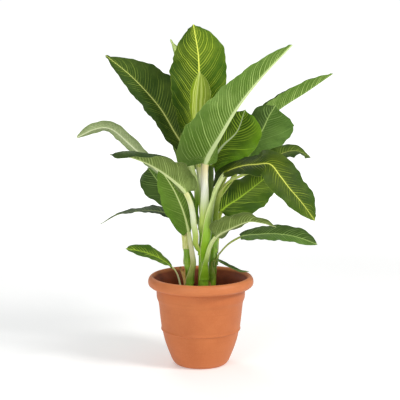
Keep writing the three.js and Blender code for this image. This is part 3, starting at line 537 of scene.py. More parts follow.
# Each leaf: node is the height where its sheath starts on the cane, and reach the degrees that the sheath
# goes round the cane on either side. stalk is the stalk's half-width at the foot and under the blade. path is
# the stalk's points, then the midrib's, and bladeAt the blade base among them. face is the way the upper side
# looks at the base and the tip. half is the greatest half-width on the left and the right, from the base past
# the middle to the tip, widest its place, blunt the roundness of base and tip, lobe how far the base's halves
# reach back. lift folds the halves up about the midrib, curl bends them on, and wave is the ruffle's height
# and count. look and stalkLook name the colours. A leaf that gives no curl is flat across.
flatAcross = [[0, 0], [0, 0]]
leaves = [
    dict(name="leaf_top_upright", cane="centre", node=333, stalk=[6, 7], reach=38,
         path=[[2, 25, 355], [-1, 34, 412], [-6, 45, 473], [-7, 56, 547], [-5, 62, 627], [-5, 64, 700],
               [-16, 54, 770]],
         bladeAt=2, face=[[0, -1, 0.1], [0.1, -1, 0.2]], half=[[58, 66, 74], [50, 59, 84]],
         widest=0.58, blunt=[0.4, 0.58], lobe=[0.1, 0.1], lift=[[25, 8], [25, 8]],
         curl=[[0, -10], [0, -10]], wave=[2, 4], look="lively", stalkLook="pale"),
    dict(name="leaf_young_rolled", cane="centre", node=None, stalk=[4.5, 3.5], reach=80,
         path=[[2, 8, 352.8], [4, 5, 390], [-5, 16, 459], [-11, 24, 543], [-10, 26, 606], [-3, 22, 666]],
         bladeAt=2, face=[[0, -1, 0], [0, -1, 0.1]], half=[[26, 26, 26], [36, 36, 36]],
         widest=0.72, blunt=[0.8, 0.55], lobe=[0, 0], lift=[[40, 30], [10, 10]],
         curl=[[60, 40], [40, 30]], wave=[0, 1], look="young", stalkLook="pale"),
    dict(name="leaf_front_right", cane="centre", node=290, stalk=[12, 7], reach=50,
         path=[[6, -21, 330], [8, -25, 366], [9, -29, 404], [8, -35, 442], [13, -43, 477],
               [43, -75, 535], [80, -105, 600], [129, -125, 664], [188, -135, 727]],
         bladeAt=4, face=[[0.2, 0.9, 0.3], [0.2, 0.9, 0.3]], half=[[44, 44, 44], [87, 58, 48]],
         widest=0.25, blunt=[0.4, 0.55], lobe=[0.3, 0.4], lift=[[98, 98], [5, 5]],
         wave=[2.5, 4], look="soft", stalkLook="tan"),
    dict(name="leaf_centre_right", cane="centre", node=306, stalk=[9, 6.5], reach=40,
         path=[[19, 8, 335], [22, 9, 365], [23, 9, 400], [23, 7, 436], [25, 8, 465], [49, 20, 501],
               [83, 38, 533], [101, 54, 580]],
         bladeAt=4, face=[[-0.4, -0.85, 0.35], [-0.4, -0.85, 0.35]], half=[[24, 32, 60], [62, 62, 62]],
         widest=0.5, blunt=[0.5, 0.5], lobe=[0.3, 0.55], lift=[[10, 10], [10, 0]],
         curl=[[0, 0], [-20, -30]], wave=[2.5, 4], look="glow", stalkLook="dark"),
    dict(name="leaf_upper_left", cane="centre", node=312, stalk=[7.8, 6.4], reach=45,
         path=[[-10, 11, 342], [-9, 16, 400], [-21, 38, 450], [-33, 60, 486], [-59, 72, 526],
               [-92, 88, 580], [-127, 101, 621], [-167, 108, 661], [-217, 110, 701]],
         bladeAt=3, face=[[0.1, -0.9, 0.35], [0.1, -0.9, 0.35]], half=[[43, 37, 48], [70, 71, 56]],
         widest=0.45, blunt=[0.5, 0.8], lobe=[0.4, 0.1], lift=[[30, 15], [5, 5]],
         wave=[2.5, 4], look="deep", stalkLook="fresh"),
    dict(name="leaf_far_left_arched", cane="left", node=322, stalk=[7, 4.5], reach=70,
         path=[[-50, 3, 355], [-57, 2, 384], [-66, 0, 412], [-90, -4, 442], [-117, -8, 469],
               [-159, -18, 510], [-195, -32, 543], [-213, -38, 549], [-238, -48, 545], [-270, -54, 530]],
         bladeAt=3, face=[[0.2, 0.8, 0.5], [0.2, 0.8, 0.5]], half=[[18, 20, 28], [24, 21, 22]],
         widest=0.45, blunt=[0.6, 0.5], lobe=[0.4, 0.4], lift=[[5, 5], [20, 20]],
         wave=[1.5, 3], look="ashy", stalkLook="olive"),
    dict(name="leaf_left_front", cane="centre", node=255, stalk=[9, 5.5], reach=34,
         path=[[-10, -13, 278], [-12, -27, 306], [-16, -36, 333], [-18, -41, 356], [-25, -47, 386],
               [-38, -56, 412], [-57, -68, 432], [-90, -90, 460], [-122, -104, 479], [-158, -114, 492],
               [-193, -116, 496]],
         bladeAt=5, face=[[0, 0.9, 0.45], [0.1, 0.5, 0.8]], half=[[48, 67, 130], [32, 30, 36]],
         widest=0.35, blunt=[0.4, 0.6], lobe=[0.4, 0.3], lift=[[5, 15], [70, 40]],
         curl=[[10, -115], [0, 0]], wave=[3, 4], look="grey", stalkLook="pale"),
    dict(name="leaf_lower_left", cane="left", node=188, stalk=[8, 4.5], reach=75,
         path=[[-17, -14, 235], [-20, -17, 262], [-24.4, -17, 290], [-28.4, -15, 316], [-38, -15, 353],
               [-48, -14, 378], [-62, -14, 408], [-79, -14, 435], [-92, -13, 453]],
         bladeAt=3, face=[[0.2, 0.95, 0.1], [0.2, 0.95, 0]], half=[[27, 35, 36], [44, 41, 36]],
         widest=0.45, blunt=[0.45, 0.5], lobe=[0, 0.4], lift=[[10, 5], [0, 0]],
         wave=[1.5, 3], look="leafy", stalkLook="pink"),
    dict(name="leaf_left_back", cane="left", node=262, stalk=[4.5, 4], reach=60,
         path=[[-31, 28, 302], [-36, 42, 335], [-62, 62, 366], [-98, 92, 408], [-124, 125, 438]],
         bladeAt=1, face=[[-0.1, -0.7, 0.7], [-0.1, -0.7, 0.7]], half=[[28, 41, 50], [45, 45, 45]],
         widest=0.6, blunt=[0.5, 0.5], lobe=[0.4, 0.4], lift=[[5, 5], [5, 5]],
         wave=[2, 3], look="fresh", stalkLook="olive"),
    dict(name="leaf_left_drooping", cane="left", node=230, stalk=[4.5, 4], reach=60,
         path=[[-38, 26, 268], [-40, 34, 296], [-48, 48, 318], [-66, 70, 333], [-95, 88, 340],
               [-124, 98, 341], [-163, 110, 336], [-197, 122, 328], [-237, 132, 305]],
         bladeAt=3, face=[[0, -0.2, 1], [0, -0.1, 1]], half=[[30, 24, 22], [36, 26, 22]],
         widest=0.3, blunt=[0.4, 0.7], lobe=[0.3, 0.3], lift=[[10, 10], [5, 10]],
         wave=[1.5, 3], look="grey", stalkLook="olive"),
    dict(name="leaf_small_sucker", cane=None, node=None, stalk=[2.6, 2.2], reach=80,
         path=[[-42, -14, 120], [-46, -15, 181], [-56, -24, 219], [-70, -32, 236], [-96, -50, 257],
               [-127, -62, 272], [-165, -70, 281]],
         bladeAt=3, face=[[0, -0.45, 0.9], [0, -0.45, 0.9]], half=[[30, 25, 26], [30, 26, 26]],
         widest=0.5, blunt=[0.5, 0.5], lobe=[0.3, 0.3], lift=[[10, 10], [10, 10]],
         wave=[0.5, 2], look="striped", stalkLook="pink"),
    dict(name="leaf_far_right_upper", cane="right", node=306, stalk=[8, 5], reach=60,
         path=[[26, 46, 342], [36, 62, 385], [56, 80, 420], [88, 108, 480], [144, 160, 541],
               [198, 200, 579], [259, 225, 615], [318, 240, 654]],
         bladeAt=3, face=[[-0.4, 0.1, 0.9], [-0.4, 0.1, 0.9]], half=[[46, 35, 56], [44, 33, 56]],
         widest=0.4, blunt=[0.5, 0.7], lobe=[0.3, 0.3], lift=[[75, 75], [75, 75]],
         wave=[2.5, 4], look="soft", stalkLook="olive"),
    dict(name="leaf_right_broad", cane="right", node=None, stalk=[5, 5], reach=80,
         path=[[34.3, 31.1, 366], [42, 34, 382], [72, 47, 422], [93, 57, 453], [112, 68, 480],
               [129, 84, 506], [148, 102, 538], [160, 114, 562], [175, 122, 586]],
         bladeAt=4, face=[[-0.2, -0.75, 0.5], [-0.2, -0.75, 0.5]], half=[[44, 42, 44], [64, 71, 80]],
         widest=0.58, blunt=[0.5, 0.42], lobe=[0.3, 0.3], lift=[[10, 10], [5, 5]],
         wave=[2.5, 4], look="fresh", stalkLook="olive"),
    dict(name="leaf_right_behind", cane="right", node=282, stalk=[7, 4], reach=55,
         path=[[34, 8, 320], [36, 6, 360], [45, 8, 395], [60, 14, 418], [90, 28, 432], [116, 46, 439],
               [143, 70, 448], [196, 110, 477], [230, 128, 479], [259, 140, 464]],
         bladeAt=5, face=[[0, -0.25, 1], [0, -0.35, 1]], half=[[34, 30, 34], [36, 36, 60]],
         widest=0.45, blunt=[0.5, 0.55], lobe=[0.2, 0.2], lift=[[20, 20], [20, 0]],
         wave=[2, 4], look="deep", stalkLook="olive"),
    dict(name="leaf_right_bent", cane="centre", node=240, stalk=[12, 7], reach=50,
         path=[[12, -29, 295], [16, -35, 335], [22, -39, 368], [31, -42, 405], [40, -45, 425],
               [50, -49, 443], [60, -56, 454], [92, -78, 468], [120, -96, 473], [150, -110, 475],
               [171, -122, 451], [192, -130, 424], [218, -134, 394], [243, -136, 360]],
         bladeAt=6, face=[[-0.1, -0.35, 0.93], [0.35, -0.85, 0.35]], half=[[58, 46, 62], [46, 40, 42]],
         widest=0.45, blunt=[0.2, 0.55], lobe=[1.2, 0.2], lift=[[0, 0], [0, 0]],
         wave=[2.5, 4], look="gold", stalkLook="fresh"),
    dict(name="leaf_right_middle", cane="right", node=252, stalk=[7, 4.5], reach=55,
         path=[[38, 43, 285], [40, 48, 320], [50, 56, 348], [93, 82, 375], [134, 112, 402],
               [179, 142, 432]],
         bladeAt=2, face=[[-0.25, -0.75, 0.65], [-0.25, -0.75, 0.65]], half=[[50, 46, 46], [64, 62, 56]],
         widest=0.38, blunt=[0.4, 0.5], lobe=[0.4, 0.4], lift=[[5, 5], [5, 5]],
         wave=[2, 3], look="striped", stalkLook="olive"),
    dict(name="leaf_right_arched", cane="centre", node=198, stalk=[6.5, 4.5], reach=60,
         path=[[13, -25, 248], [23, -34, 285], [38, -43, 307], [66, -58, 325], [106, -90, 346],
               [134, -110, 346], [160, -125, 341]],
         bladeAt=2, face=[[-0.1, 0.8, 0.6], [-0.1, 0.65, 0.75]], half=[[32, 32, 32], [48, 44, 66]],
         widest=0.3, blunt=[0.4, 0.6], lobe=[0.3, 0], lift=[[35, 30], [5, 0]],
         wave=[1.5, 3], look="grey", stalkLook="fresh"),
    dict(name="leaf_right_low", cane="right", node=226, stalk=[3.5, 2.8], reach=45,
         path=[[45, 18, 256], [54, 12, 268], [68, 4, 282], [96, 2, 297], [125, -12, 303],
               [170, -32, 308], [215, -50, 304], [257, -60, 290]],
         bladeAt=3, face=[[0, -0.45, 0.9], [0, -0.45, 0.9]], half=[[32, 28, 42], [32, 28, 34]],
         widest=0.47, blunt=[0.4, 0.55], lobe=[0.3, 0.3], lift=[[15, 15], [5, 5]],
         wave=[1.5, 3], look="fresh", stalkLook="olive"),
    dict(name="leaf_right_thin", cane="right", node=196, stalk=[2.5, 2.2], reach=40,
         path=[[27, 5, 238], [36, 4, 241], [48, 6, 234], [65, 10, 224], [91, 16, 212], [109, 20, 211]],
         bladeAt=1, face=[[0.2, -0.2, 0.95], [0.2, -0.2, 0.95]], half=[[11, 11, 11], [11, 11, 11]],
         widest=0.4, blunt=[0.7, 0.6], lobe=[0.2, 0.2], lift=[[25, 10], [25, 10]],
         wave=[0.5, 2], look="fresh", stalkLook="olive"),
    dict(name="leaf_back_upright", cane="left", node=None, stalk=[4.5, 4.5], reach=80,
         path=[[-37, 10, 351], [-37, 18, 375], [-31, 50, 420], [-27, 78, 450], [-38, 116, 520],
               [-46, 147, 611], [-50, 155, 681], [-57, 153, 710], [-69, 150, 736]],
         bladeAt=3, face=[[0.1, -1, 0.1], [0.1, -1, 0.1]], half=[[42, 28, 26], [50, 48, 36]],
         widest=0.3, blunt=[0.5, 0.7], lobe=[0.2, 0.3], lift=[[20, 20], [10, 10]],
         wave=[2, 3], look="pale", stalkLook="olive"),
]

# wall is the sheath's thickness, and rise the height of its second point over its foot.
sheath = dict(wall=2.2, rise=8, pathSteps=240)

# short keeps the last stalk ring off the blade, wrap is how far the stalk's two sides go round, groove the
# depth and width of its channel, and edge the sheath's thinning at the margins.
stalkForm = dict(depth=0.7, rings=30, short=1.05, wrap=0.94, groove=(0.35, 0.45), edge=0.55)
rib = dict(tip=0.8, taper=0.42, middleDepth=0.9, sideDepth=0.6, sideInset=0.7, channel=0.25, columns=7)

# middle and margin are thicknesses. ends are where the first and last rings are, and crowding draws the rings
# to the base. arch is the bulge of a half, and quilt that of the strips between side veins. lastFull is where
# the outline stops following half, narrow keeps it wider than the rib, and dripTip rounds off the point.
blade = dict(middle=1.1, margin=0.5, thinning=1.5, stations=90, columns=12, ends=(0.012, 1.02),
             crowding=1.15, foldStart=(0.5, 0.15), lobeFade=8, arch=1.6, fullRuffle=30, smallRuffle=2.4,
             halfShift=0.6, ruffleLengths=(47, 29, 17), edgeBumps=0.045, bumpLengths=(61, 37, 19),
             waveShares=(0.5, 0.35, 0.25), quilt=0.2, fullQuilt=20, lastFull=0.985,
             narrow=(0.4, 0.3, 0.1), dripTip=(0.4, 0.3, 0.2))

# lean and steepLean are how much side veins lean forward by the rib and by the margin, and tipLoss how much
# of that is lost at the tip. halfOffset keeps the left half's veins unlike the right half's.
veins = dict(spacing=7.6, lean=(0.8, 0.35), steepLean=(1.1, 0.7), tipLoss=0.35, rolledCount=3.4,
             halfOffset=100.5)


class Leaf:
    # The same walk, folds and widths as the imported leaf, with many more stations and columns.
    def __init__(self, spec):
        self.spec = spec
        self.cane = canes[spec["cane"]] if spec["node"] is not None else None
        start = []
        if self.cane:
            start = [caneAt(self.cane, spec["node"] + rise)[0].tolist() for rise in (0, sheath["rise"])]
        self.points = throughPoints(start + spec["path"], sheath["pathSteps"])
        edges = unit(np.diff(self.points, axis=0))
        self.tangents = unit(np.vstack([edges[:1], edges[:-1] + edges[1:], edges[-1:]]))
        self.far = np.concatenate([[0], np.cumsum(np.linalg.norm(np.diff(self.points, axis=0), axis=1))])
        base = np.array(spec["path"][spec["bladeAt"]], float)
        self.baseAt = self.far[np.argmin(np.linalg.norm(self.points - base, axis=1))]
        self.bladeLength = self.far[-1] - self.baseAt
        self.outward = None
        if self.cane:
            first = np.array(spec["path"][0], float)
            way = first - caneAt(self.cane, first[2])[0]
            way[2] = 0
            self.outward = unit(way)
        self.luck = random.Random(sum(map(ord, spec["name"])))

    def frame(self, distance):
        # Point, tangent, upper normal and the way to the right, at one distance or many.
        distance = np.asarray(distance, float)
        inside = np.clip(distance, 0, self.far[-1])
        i = np.clip(np.searchsorted(self.far, inside), 1, len(self.far) - 1)
        t = ((inside - self.far[i - 1]) / (self.far[i] - self.far[i - 1]))[..., None]
        tangent = unit(mix(self.tangents[i - 1], self.tangents[i], t))
        point = mix(self.points[i - 1], self.points[i], t) + tangent * (distance - inside)[..., None]
        s = np.clip((distance - self.baseAt) / self.bladeLength, 0, 1)[..., None]
        looks = unit(np.array(self.spec["face"], float))
        hint = mix(looks[0], looks[1], s)
        if self.outward is not None:
            hold = 1 - smooth(distance / self.baseAt)[..., None]
            hint = mix(hint, -self.outward, np.where(distance[..., None] < self.baseAt, hold, 0))
        normal = unit(hint - tangent * np.sum(hint * tangent, axis=-1, keepdims=True))
        return point, tangent, normal, unit(np.cross(tangent, normal))

    def stalkRadius(self, distance):
        return mix(*self.spec["stalk"], min(1, max(0, distance / self.baseAt)))

    def ribRadius(self, s):
        return mix(self.spec["stalk"][1], rib["tip"], min(1, s) ** rib["taper"])

    def columnPlaces(self):
        # Signed places across a stalk ring that meet the blade's columns: margin, rib, margin.
        outer = 1 - np.arange(blade["columns"]) / blade["columns"]
        left = -(1 + 2 * outer) / 3
        middle = np.linspace(-1, 1, rib["columns"]) / 3
        return np.concatenate([left, middle, -left[::-1]])

    def stalkRing(self, distance):
        point, _, normal, right = self.frame(distance)
        wide = self.stalkRadius(distance)
        deep = wide * stalkForm["depth"]
        hold, caneRadius = 0.0, 0.0
        if self.cane:
            axis, radius = caneAt(self.cane, point[2])
            caneRadius = radius + caneShape["nodeSwell"]
            away = math.hypot(point[0] - axis[0], point[1] - axis[1])
            hold = 1 - min(1, away / (caneRadius + deep + fitGap))
        level = hold if self.cane else float(distance == 0)
        inward = -self.outward if self.cane else unit(normal * (1, 1, 0))
        normal = unit(mix(normal, inward, level))
        right = unit(mix(right, np.cross((0, 0, 1), inward), level))
        inner = caneRadius + fitGap
        outer = inner + sheath["wall"]
        across = self.columnPlaces()[:, None]
        around = across * np.pi / 2 * stalkForm["wrap"]
        clasp = across * math.radians(self.spec["reach"])

        def polar(side, out, angle):
            return point + right * side * np.sin(angle) - normal * out * np.cos(angle)

        grooveDepth, grooveWidth = stalkForm["groove"]
        groove = 1 - grooveDepth * np.exp(-(across / grooveWidth) ** 2)
        thin = mix(1.0, stalkForm["edge"], np.abs(across) ** 2)
        upper = mix(polar(wide, -deep * groove, around), polar(inner, inner, clasp), hold)
        edge = mix(inner, outer, thin)
        lower = mix(polar(wide, deep, around), polar(edge, edge, clasp), hold)
        return upper, lower

    def foldAngle(self, half, s):
        share, full = blade["foldStart"]
        return math.radians(mix(*self.spec["lift"][half], s)) * mix(share, 1, float(smooth(s / full)))

    def halfWidth(self, half, s):
        # Widest along the blade as packed, with an uneven margin and a small drawn-out tip.
        a, b, c = self.spec["half"][half]
        skew = math.log(0.5) / math.log(self.spec["widest"])
        early = min(s, blade["lastFull"])
        late = 1 - early
        full = a * late * (1 - 2 * early) + 4 * b * early * late + c * early * (2 * early - 1)
        shape = math.sin(math.pi * early ** skew) ** mix(*self.spec["blunt"], early)
        width = full * shape * (1 + blade["edgeBumps"] * self.unevenness(half, s, blade["bumpLengths"]))
        left = (blade["ends"][1] - s) * self.bladeLength
        a, b, c = blade["dripTip"]
        width = min(width, a + b * left + c * left ** 2)
        share, least, growth = blade["narrow"]
        return max(min(self.ribRadius(s) * share, least + growth * left), width - self.ribRadius(s))

    def unevenness(self, half, s, lengths):
        # An uneven wave along a margin, different in every leaf.
        along = s * self.bladeLength
        total = 0
        for length, share in zip(lengths, blade["waveShares"]):
            total += share * math.sin(2 * math.pi * along / length + self.turns[half] * length)
        return total

    def veinPhase(self, half, s, q):
        # The side veins leave the rib at a slant and bend forward towards the margin.
        offset = veins["halfOffset"] * half
        if self.spec["look"] == "young":
            return veins["rolledCount"] * q + 0.5 + offset
        near, far = veins["steepLean" if self.spec["look"] == "lively" else "lean"]
        wide = sum(self.spec["half"][half]) / 3
        forward = wide * (near * q + far * q ** 2) * (1 - veins["tipLoss"] * s)
        return (s * self.bladeLength - forward) / veins["spacing"] + offset

    def bladeHalf(self, half, s, q):
        # Middle surface and its normal at the shares q of one half.
        spec = self.spec
        side = -1 if half == 0 else 1
        ribWide = self.ribRadius(s)
        width = self.halfWidth(half, s)
        lobe = -spec["half"][half][0] * spec["lobe"][half] * q ** 2 * (1 - s) ** blade["lobeFade"]
        point, _, normal, right = self.frame(self.baseAt + s * self.bladeLength + lobe)
        start = self.foldAngle(half, s)
        turn = math.radians(mix(*spec.get("curl", flatAcross)[half], s))
        angle = start + turn * q
        if abs(turn) > 1e-4:
            along = (np.sin(angle) - math.sin(start)) / turn
            up = (math.cos(start) - np.cos(angle)) / turn
        else:
            along, up = q * math.cos(start), q * math.sin(start)
        angle, along, up, q = (v[:, None] for v in (angle, along, up, q))
        local = normal * np.cos(angle) - right * side * np.sin(angle)
        height, count = spec["wave"]
        ruffle = height * q ** 2 * math.sin(math.pi * (2 * count * s + blade["halfShift"] * half))
        small = self.unevenness(half, s, blade["ruffleLengths"])
        ruffle = ruffle + blade["smallRuffle"] * q ** 3 * small
        ruffle = (ruffle + blade["arch"] * np.sin(np.pi * q)) * min(1, width / blade["fullRuffle"])
        phase = self.veinPhase(half, s, q)
        share = min(1, width / blade["fullQuilt"])
        quilt = blade["quilt"] * np.cos(2 * np.pi * phase) * np.sin(np.pi * q) * share
        place = point + right * side * (ribWide + width * along) + normal * width * up
        return place + local * (ruffle - quilt), local, phase[:, 0]

    def bladeRing(self, s):
        q = 1 - np.arange(blade["columns"]) / blade["columns"]
        q[-1] = 0.35 / blade["columns"]
        ribWide = self.ribRadius(s)
        thick = mix(blade["middle"], blade["margin"], q[:, None] ** blade["thinning"]) / 2
        uppers, lowers, phases = [], [], []
        for half in (0, 1):
            place, local, phase = self.bladeHalf(half, s, q)
            turned = slice(None, None, -1 if half else 1)
            uppers.append((place + local * thick)[turned])
            lowers.append((place - local * thick)[turned])
            phases.append(phase[turned])
        point, _, normal, right = self.frame(self.baseAt + s * self.bladeLength)
        across = np.linspace(-1, 1, rib["columns"])[:, None]
        fold = [max(0, math.sin(self.foldAngle(half, s))) for half in (0, 1)]
        folded = np.where(across < 0, fold[0], fold[1]) * np.abs(across)
        reach = ribWide * mix(rib["sideInset"], 1, folded) + blade["middle"] * folded
        deep = ribWide * mix(rib["middleDepth"], rib["sideDepth"], across ** 2)
        channel = rib["channel"] * ribWide * (1 - across ** 2)
        ribUpper = point + right * across * ribWide + normal * (blade["middle"] / 2 - channel / 2)
        ribLower = point + right * across * reach - normal * deep
        upper = np.vstack([uppers[0], ribUpper, uppers[1]])
        lower = np.vstack([lowers[0], ribLower, lowers[1]])
        middle = np.where(across[:, 0] < 0.1, phases[0][-1], phases[1][0])
        phase = np.concatenate([phases[0], middle, phases[1]])
        reaches = np.concatenate([-q, 0.02 * across[:, 0], q[::-1]])
        widths = [self.halfWidth(half, s) for half in (0, 1)]
        gaps = np.concatenate([q * widths[0], np.abs(across[:, 0]) - 1, q[::-1] * widths[1]])
        return upper, lower, phase, reaches, gaps

    def build(self, materials):
        self.turns = [self.luck.uniform(0, 1) for _ in range(2)]
        points, phases, reaches, gaps, alongs = [], [], [], [], []

        def keep(upper, lower, phase, reach, gap, along):
            points.extend([upper, lower[::-1]])
            for store, values in ((phases, phase), (reaches, reach), (gaps, gap)):
                store.extend([values, values[::-1]])
            alongs.append(np.full(2 * len(upper), along))

        places = self.columnPlaces()
        zero = np.zeros(len(places))
        for i in range(stalkForm["rings"] + 1):
            share = i / (stalkForm["rings"] * stalkForm["short"])
            upper, lower = self.stalkRing(self.baseAt * share)
            keep(upper, lower, zero, places, zero, share - 1)
        for i in range(blade["stations"] + 1):
            s = mix(*blade["ends"], (i / blade["stations"]) ** blade["crowding"])
            keep(*self.bladeRing(s), s)
        size = 2 * len(places)
        rings = stalkForm["rings"] + blade["stations"] + 2
        faces = ringFaces(rings, size)
        kinds = self.faceKinds(faces, size)
        look, stalkLook, name = (self.spec[key] for key in ("look", "stalkLook", "name"))
        worn = [materials[look, "upper"], materials[look, "under"], materials[stalkLook, "stalk"]]
        values = {"veinPhase": np.concatenate(phases), "leafReach": np.concatenate(reaches),
                  "ribGap": np.concatenate(gaps), "leafAlong": np.concatenate(alongs)}
        piece = makeMesh("fine_" + name, np.vstack(points), faces, worn, kinds, values)
        sharpen(piece, 60)
        standFor(piece, name)

    def faceKinds(self, faces, size):
        # 0 is the blade's upper side, 1 its under side and 2 the stalk.
        kinds = []
        for face in faces:
            ring = min(face) // size
            middle = sum(corner % size for corner in face) / len(face)
            if ring < stalkForm["rings"]:
                kinds.append(2)
            else:
                kinds.append(0 if middle < size / 2 - 0.5 else 1)
        return kinds


pot = dict(height=206, rimRadius=121, lipRadius=108, rimDepth=24, bodyTopRadius=102, beltRadius=90.5,
           beltHeight=83, footRadius=57, wall=4, floor=5, drainCount=6, drainRadius=5, drainRing=36,
           drillEnds=(-5, 12), drillSides=32, lowerSide=[(74, 30), (83, 56)],
           upperSide=[(94, 116), (97.5, 146)], inside=[(57, 5), (70, 30), (85.5, 83), (90, 116)],
           steps=(60, 10, 60, 48, 50), segments=144)
# The rim colour is a painted highlight, and the two inside colours at the end are painted shade for the
# inside wall.
clayColours = dict(clay=srgb(186, 102, 52), lightClay=srgb(198, 114, 62), grain=srgb(214, 140, 92),
                   band=srgb(172, 92, 46), speck=srgb(160, 84, 38), rim=srgb(218, 138, 88),
                   foot=srgb(200, 124, 76), insideShade=srgb(104, 36, 6), lightInsideShade=srgb(134, 56, 14))


def potProfile():
    # Radius and height up the outside, round the rolled rim and down the inside.
    height, rim, lip = pot["height"], pot["rimRadius"], pot["lipRadius"]
    under = height - pot["rimDepth"]
    belt, beltAt, foot = pot["beltRadius"], pot["beltHeight"], pot["footRadius"]
    bodyTop = pot["bodyTopRadius"]
    footCurve = [(foot - 4, 0), (foot + 1.5, 1.6), (foot + 6.5, 6.5), *pot["lowerSide"],
                 (belt - 2, beltAt - 2.6)]
    beltCurve = [(belt + 0.6, beltAt - 1.4), (belt + 1.2, beltAt), (belt + 0.7, beltAt + 1.8)]
    upperCurve = [(belt + 0.2, beltAt + 5), *pot["upperSide"], (bodyTop - 1, 156), (bodyTop, under)]
    rimCurve = [(rim - 6, under), (rim - 1.2, under + 4.5), (rim, under + 12), (rim - 2.6, height - 4),
                (rim - 7, height - 0.2), (lip + 2.5, height - 0.2), (lip, height - 3)]
    insideCurve = [(lip - 1.2, height - 8), (bodyTop - pot["wall"], under)] + pot["inside"][::-1]
    profile = [[0, 0], [foot - 8, 0]]
    curves = (footCurve, beltCurve, upperCurve, rimCurve, insideCurve)
    for curve, count in zip(curves, pot["steps"]):
        profile += throughPoints(curve, count).tolist()
    return profile + [[0, pot["floor"]]]


def turned(profile, segments):
    # Points and faces of a profile turned about the upright axis; its two ends are on the axis.
    angles = np.linspace(0, 2 * np.pi, segments, endpoint=False)
    points = [[0, 0, profile[0][1]], [0, 0, profile[-1][1]]]
    for radius, z in profile[1:-1]:
        points += [[radius * math.cos(a), radius * math.sin(a), z] for a in angles]
    faces = []
    rows = len(profile) - 2
    for k in range(segments):
        after = (k + 1) % segments
        faces.append((0, 2 + after, 2 + k))
        for r in range(rows - 1):
            a, b = 2 + r * segments + k, 2 + r * segments + after
            faces.append((a, b, b + segments, a + segments))
        top = 2 + (rows - 1) * segments
        faces.append((1, top + k, top + after))
    return points, faces


def makePotMaterial():
    # Smooth moulded clay colour with faint turning rings and dusty at the foot, with a painted highlight
    # lighter towards the rim and painted shade darkening the inside wall.
    group, tree, given, result = newGroup("clayPattern", {"Gloss": 0.42})
    place = tree.place()
    parts = tree.add("SeparateXYZ", {0: place}).outputs
    height = parts[2]
    flat = tree.add("VectorMath", {0: tree.point(parts[0], parts[1])}, operation="LENGTH").outputs["Value"]
    clouds = tree.noise(place, 11, 5, 0.6)
    grain = tree.noise(place, 420, 3)
    bands = tree.noise(tree.point(0, 0, height), 200, 3)
    specks = tree.noise(place, 900, 1)
    # The rim colour is a painted highlight that grows lighter towards the top of the pot.
    colour = tree.layers(clayColours["clay"], clayColours, (
        ("lightClay", clouds, 0.3, 0.7), ("grain", grain, 0.45, 0.7, 0, 0.14),
        ("band", bands, 0.48, 0.75, 0, 0.22), ("speck", specks, 0.68, 0.76, 0, 0.2),
        ("rim", height, 0.176, 0.204, 0, 0.3), ("foot", height, 0, 0.03, 0.3, 0)))
    # The radius that parts the outside from the inside, at each height in metres.
    wall = tree.add("MapRange", {"Value": height, "From Min": 0.116, "From Max": 0.182,
                                 "To Min": 0.0925, "To Max": 0.1005}).outputs["Result"]
    wall = tree.plus(wall, tree.step(height, 0.181, 0.185, 0.0, 0.0095))
    # Where the inside wall takes painted shade: inside the wall's radius, below the lip and above the soil.
    outside = tree.step(tree.minus(flat, wall), 0.0, 0.0008)
    belowLip = tree.step(height, 0.196, 0.203, 1.0, 0.0)
    inside = tree.times(tree.minus(1.0, outside), belowLip)
    inside = tree.times(inside, tree.step(height, 0.13, 0.15))
    # Painted shade: the inside wall is darkened to a dark reddish brown.
    insideShade = tree.tint(clayColours["insideShade"], clayColours["lightInsideShade"], tree.noise(place, 24, 4), 0.35, 0.7)
    tree.put(result["Color"], tree.blend(tree.times(inside, 0.92), colour, insideShade))
    tree.put(result["Roughness"], tree.plus(given["Gloss"], tree.times(clouds, 0.2)))
    relief = tree.plus(tree.times(grain, 0.5), tree.times(bands, 0.5))
    tree.put(result["Height"], relief)
    return newMaterial("clay", group, dict(relief=0.1, specular=0.35))


def makePot():
    points, faces = turned(potProfile(), pot["segments"])
    piece = makeMesh("flowerPot", points, faces, [makePotMaterial()])
    cutters = []
    for i in range(pot["drainCount"]):
        angle = 2 * math.pi * (i + 0.5) / pot["drainCount"]
        middle = (pot["drainRing"] * math.cos(angle), pot["drainRing"] * math.sin(angle))
        cutters.append(drill(middle, pot["drainRadius"]))
    for cutter in cutters:
        cut = piece.modifiers.new("drain", "BOOLEAN")
        cut.operation = "DIFFERENCE"
        cut.object = cutter
    bpy.context.view_layer.update()
    shaped = piece.evaluated_get(bpy.context.evaluated_depsgraph_get())
    cutMesh = bpy.data.meshes.new_from_object(shaped)
    piece.modifiers.clear()
    piece.data = cutMesh
    for cutter in cutters:
        bpy.data.objects.remove(cutter)
    sharpen(piece, 35)
    standFor(piece, "pot")


def drill(middle, radius):
    low, high = pot["drillEnds"]
    points, faces = turned([[0, low], [radius, low], [radius, high], [0, high]], pot["drillSides"])
    return makeMesh("drill", np.array(points) + (middle[0], middle[1], 0), faces, [])


# gap is the air at the pot's wall; crumbs keep clear of the canes and of the small sucker.
soil = dict(top=164, gap=1.6, edgeDrop=2, lump=2.5, waves=(0.09, 0.11), ripple=0.7, rings=60, sides=120,
            bottomRadius=52, crumbs=900, crumbSize=(1.0, 3.2), crumbReach=0.96, caneClear=15,
            suckerSpot=(-46, -15, 5), seed=7)
soilColours = dict(dark=srgb(42, 22, 12), brown=srgb(76, 44, 26), grain=srgb(108, 68, 42),
                   bit=srgb(150, 122, 92))


def innerRadius(z):
    wall = pot["inside"] + [(pot["bodyTopRadius"] - pot["wall"], pot["height"] - pot["rimDepth"])]
    return float(np.interp(z, [h for _, h in wall], [r for r, _ in wall]))


def soilHeight(x, y):
    big = soil["lump"] * math.sin(x * soil["waves"][0] + 1) * math.cos(y * soil["waves"][1])
    small = soil["ripple"] * math.sin(x * 0.31 + 2 * math.sin(y * 0.17)) * math.sin(y * 0.37 + 1)
    return soil["top"] + big + small


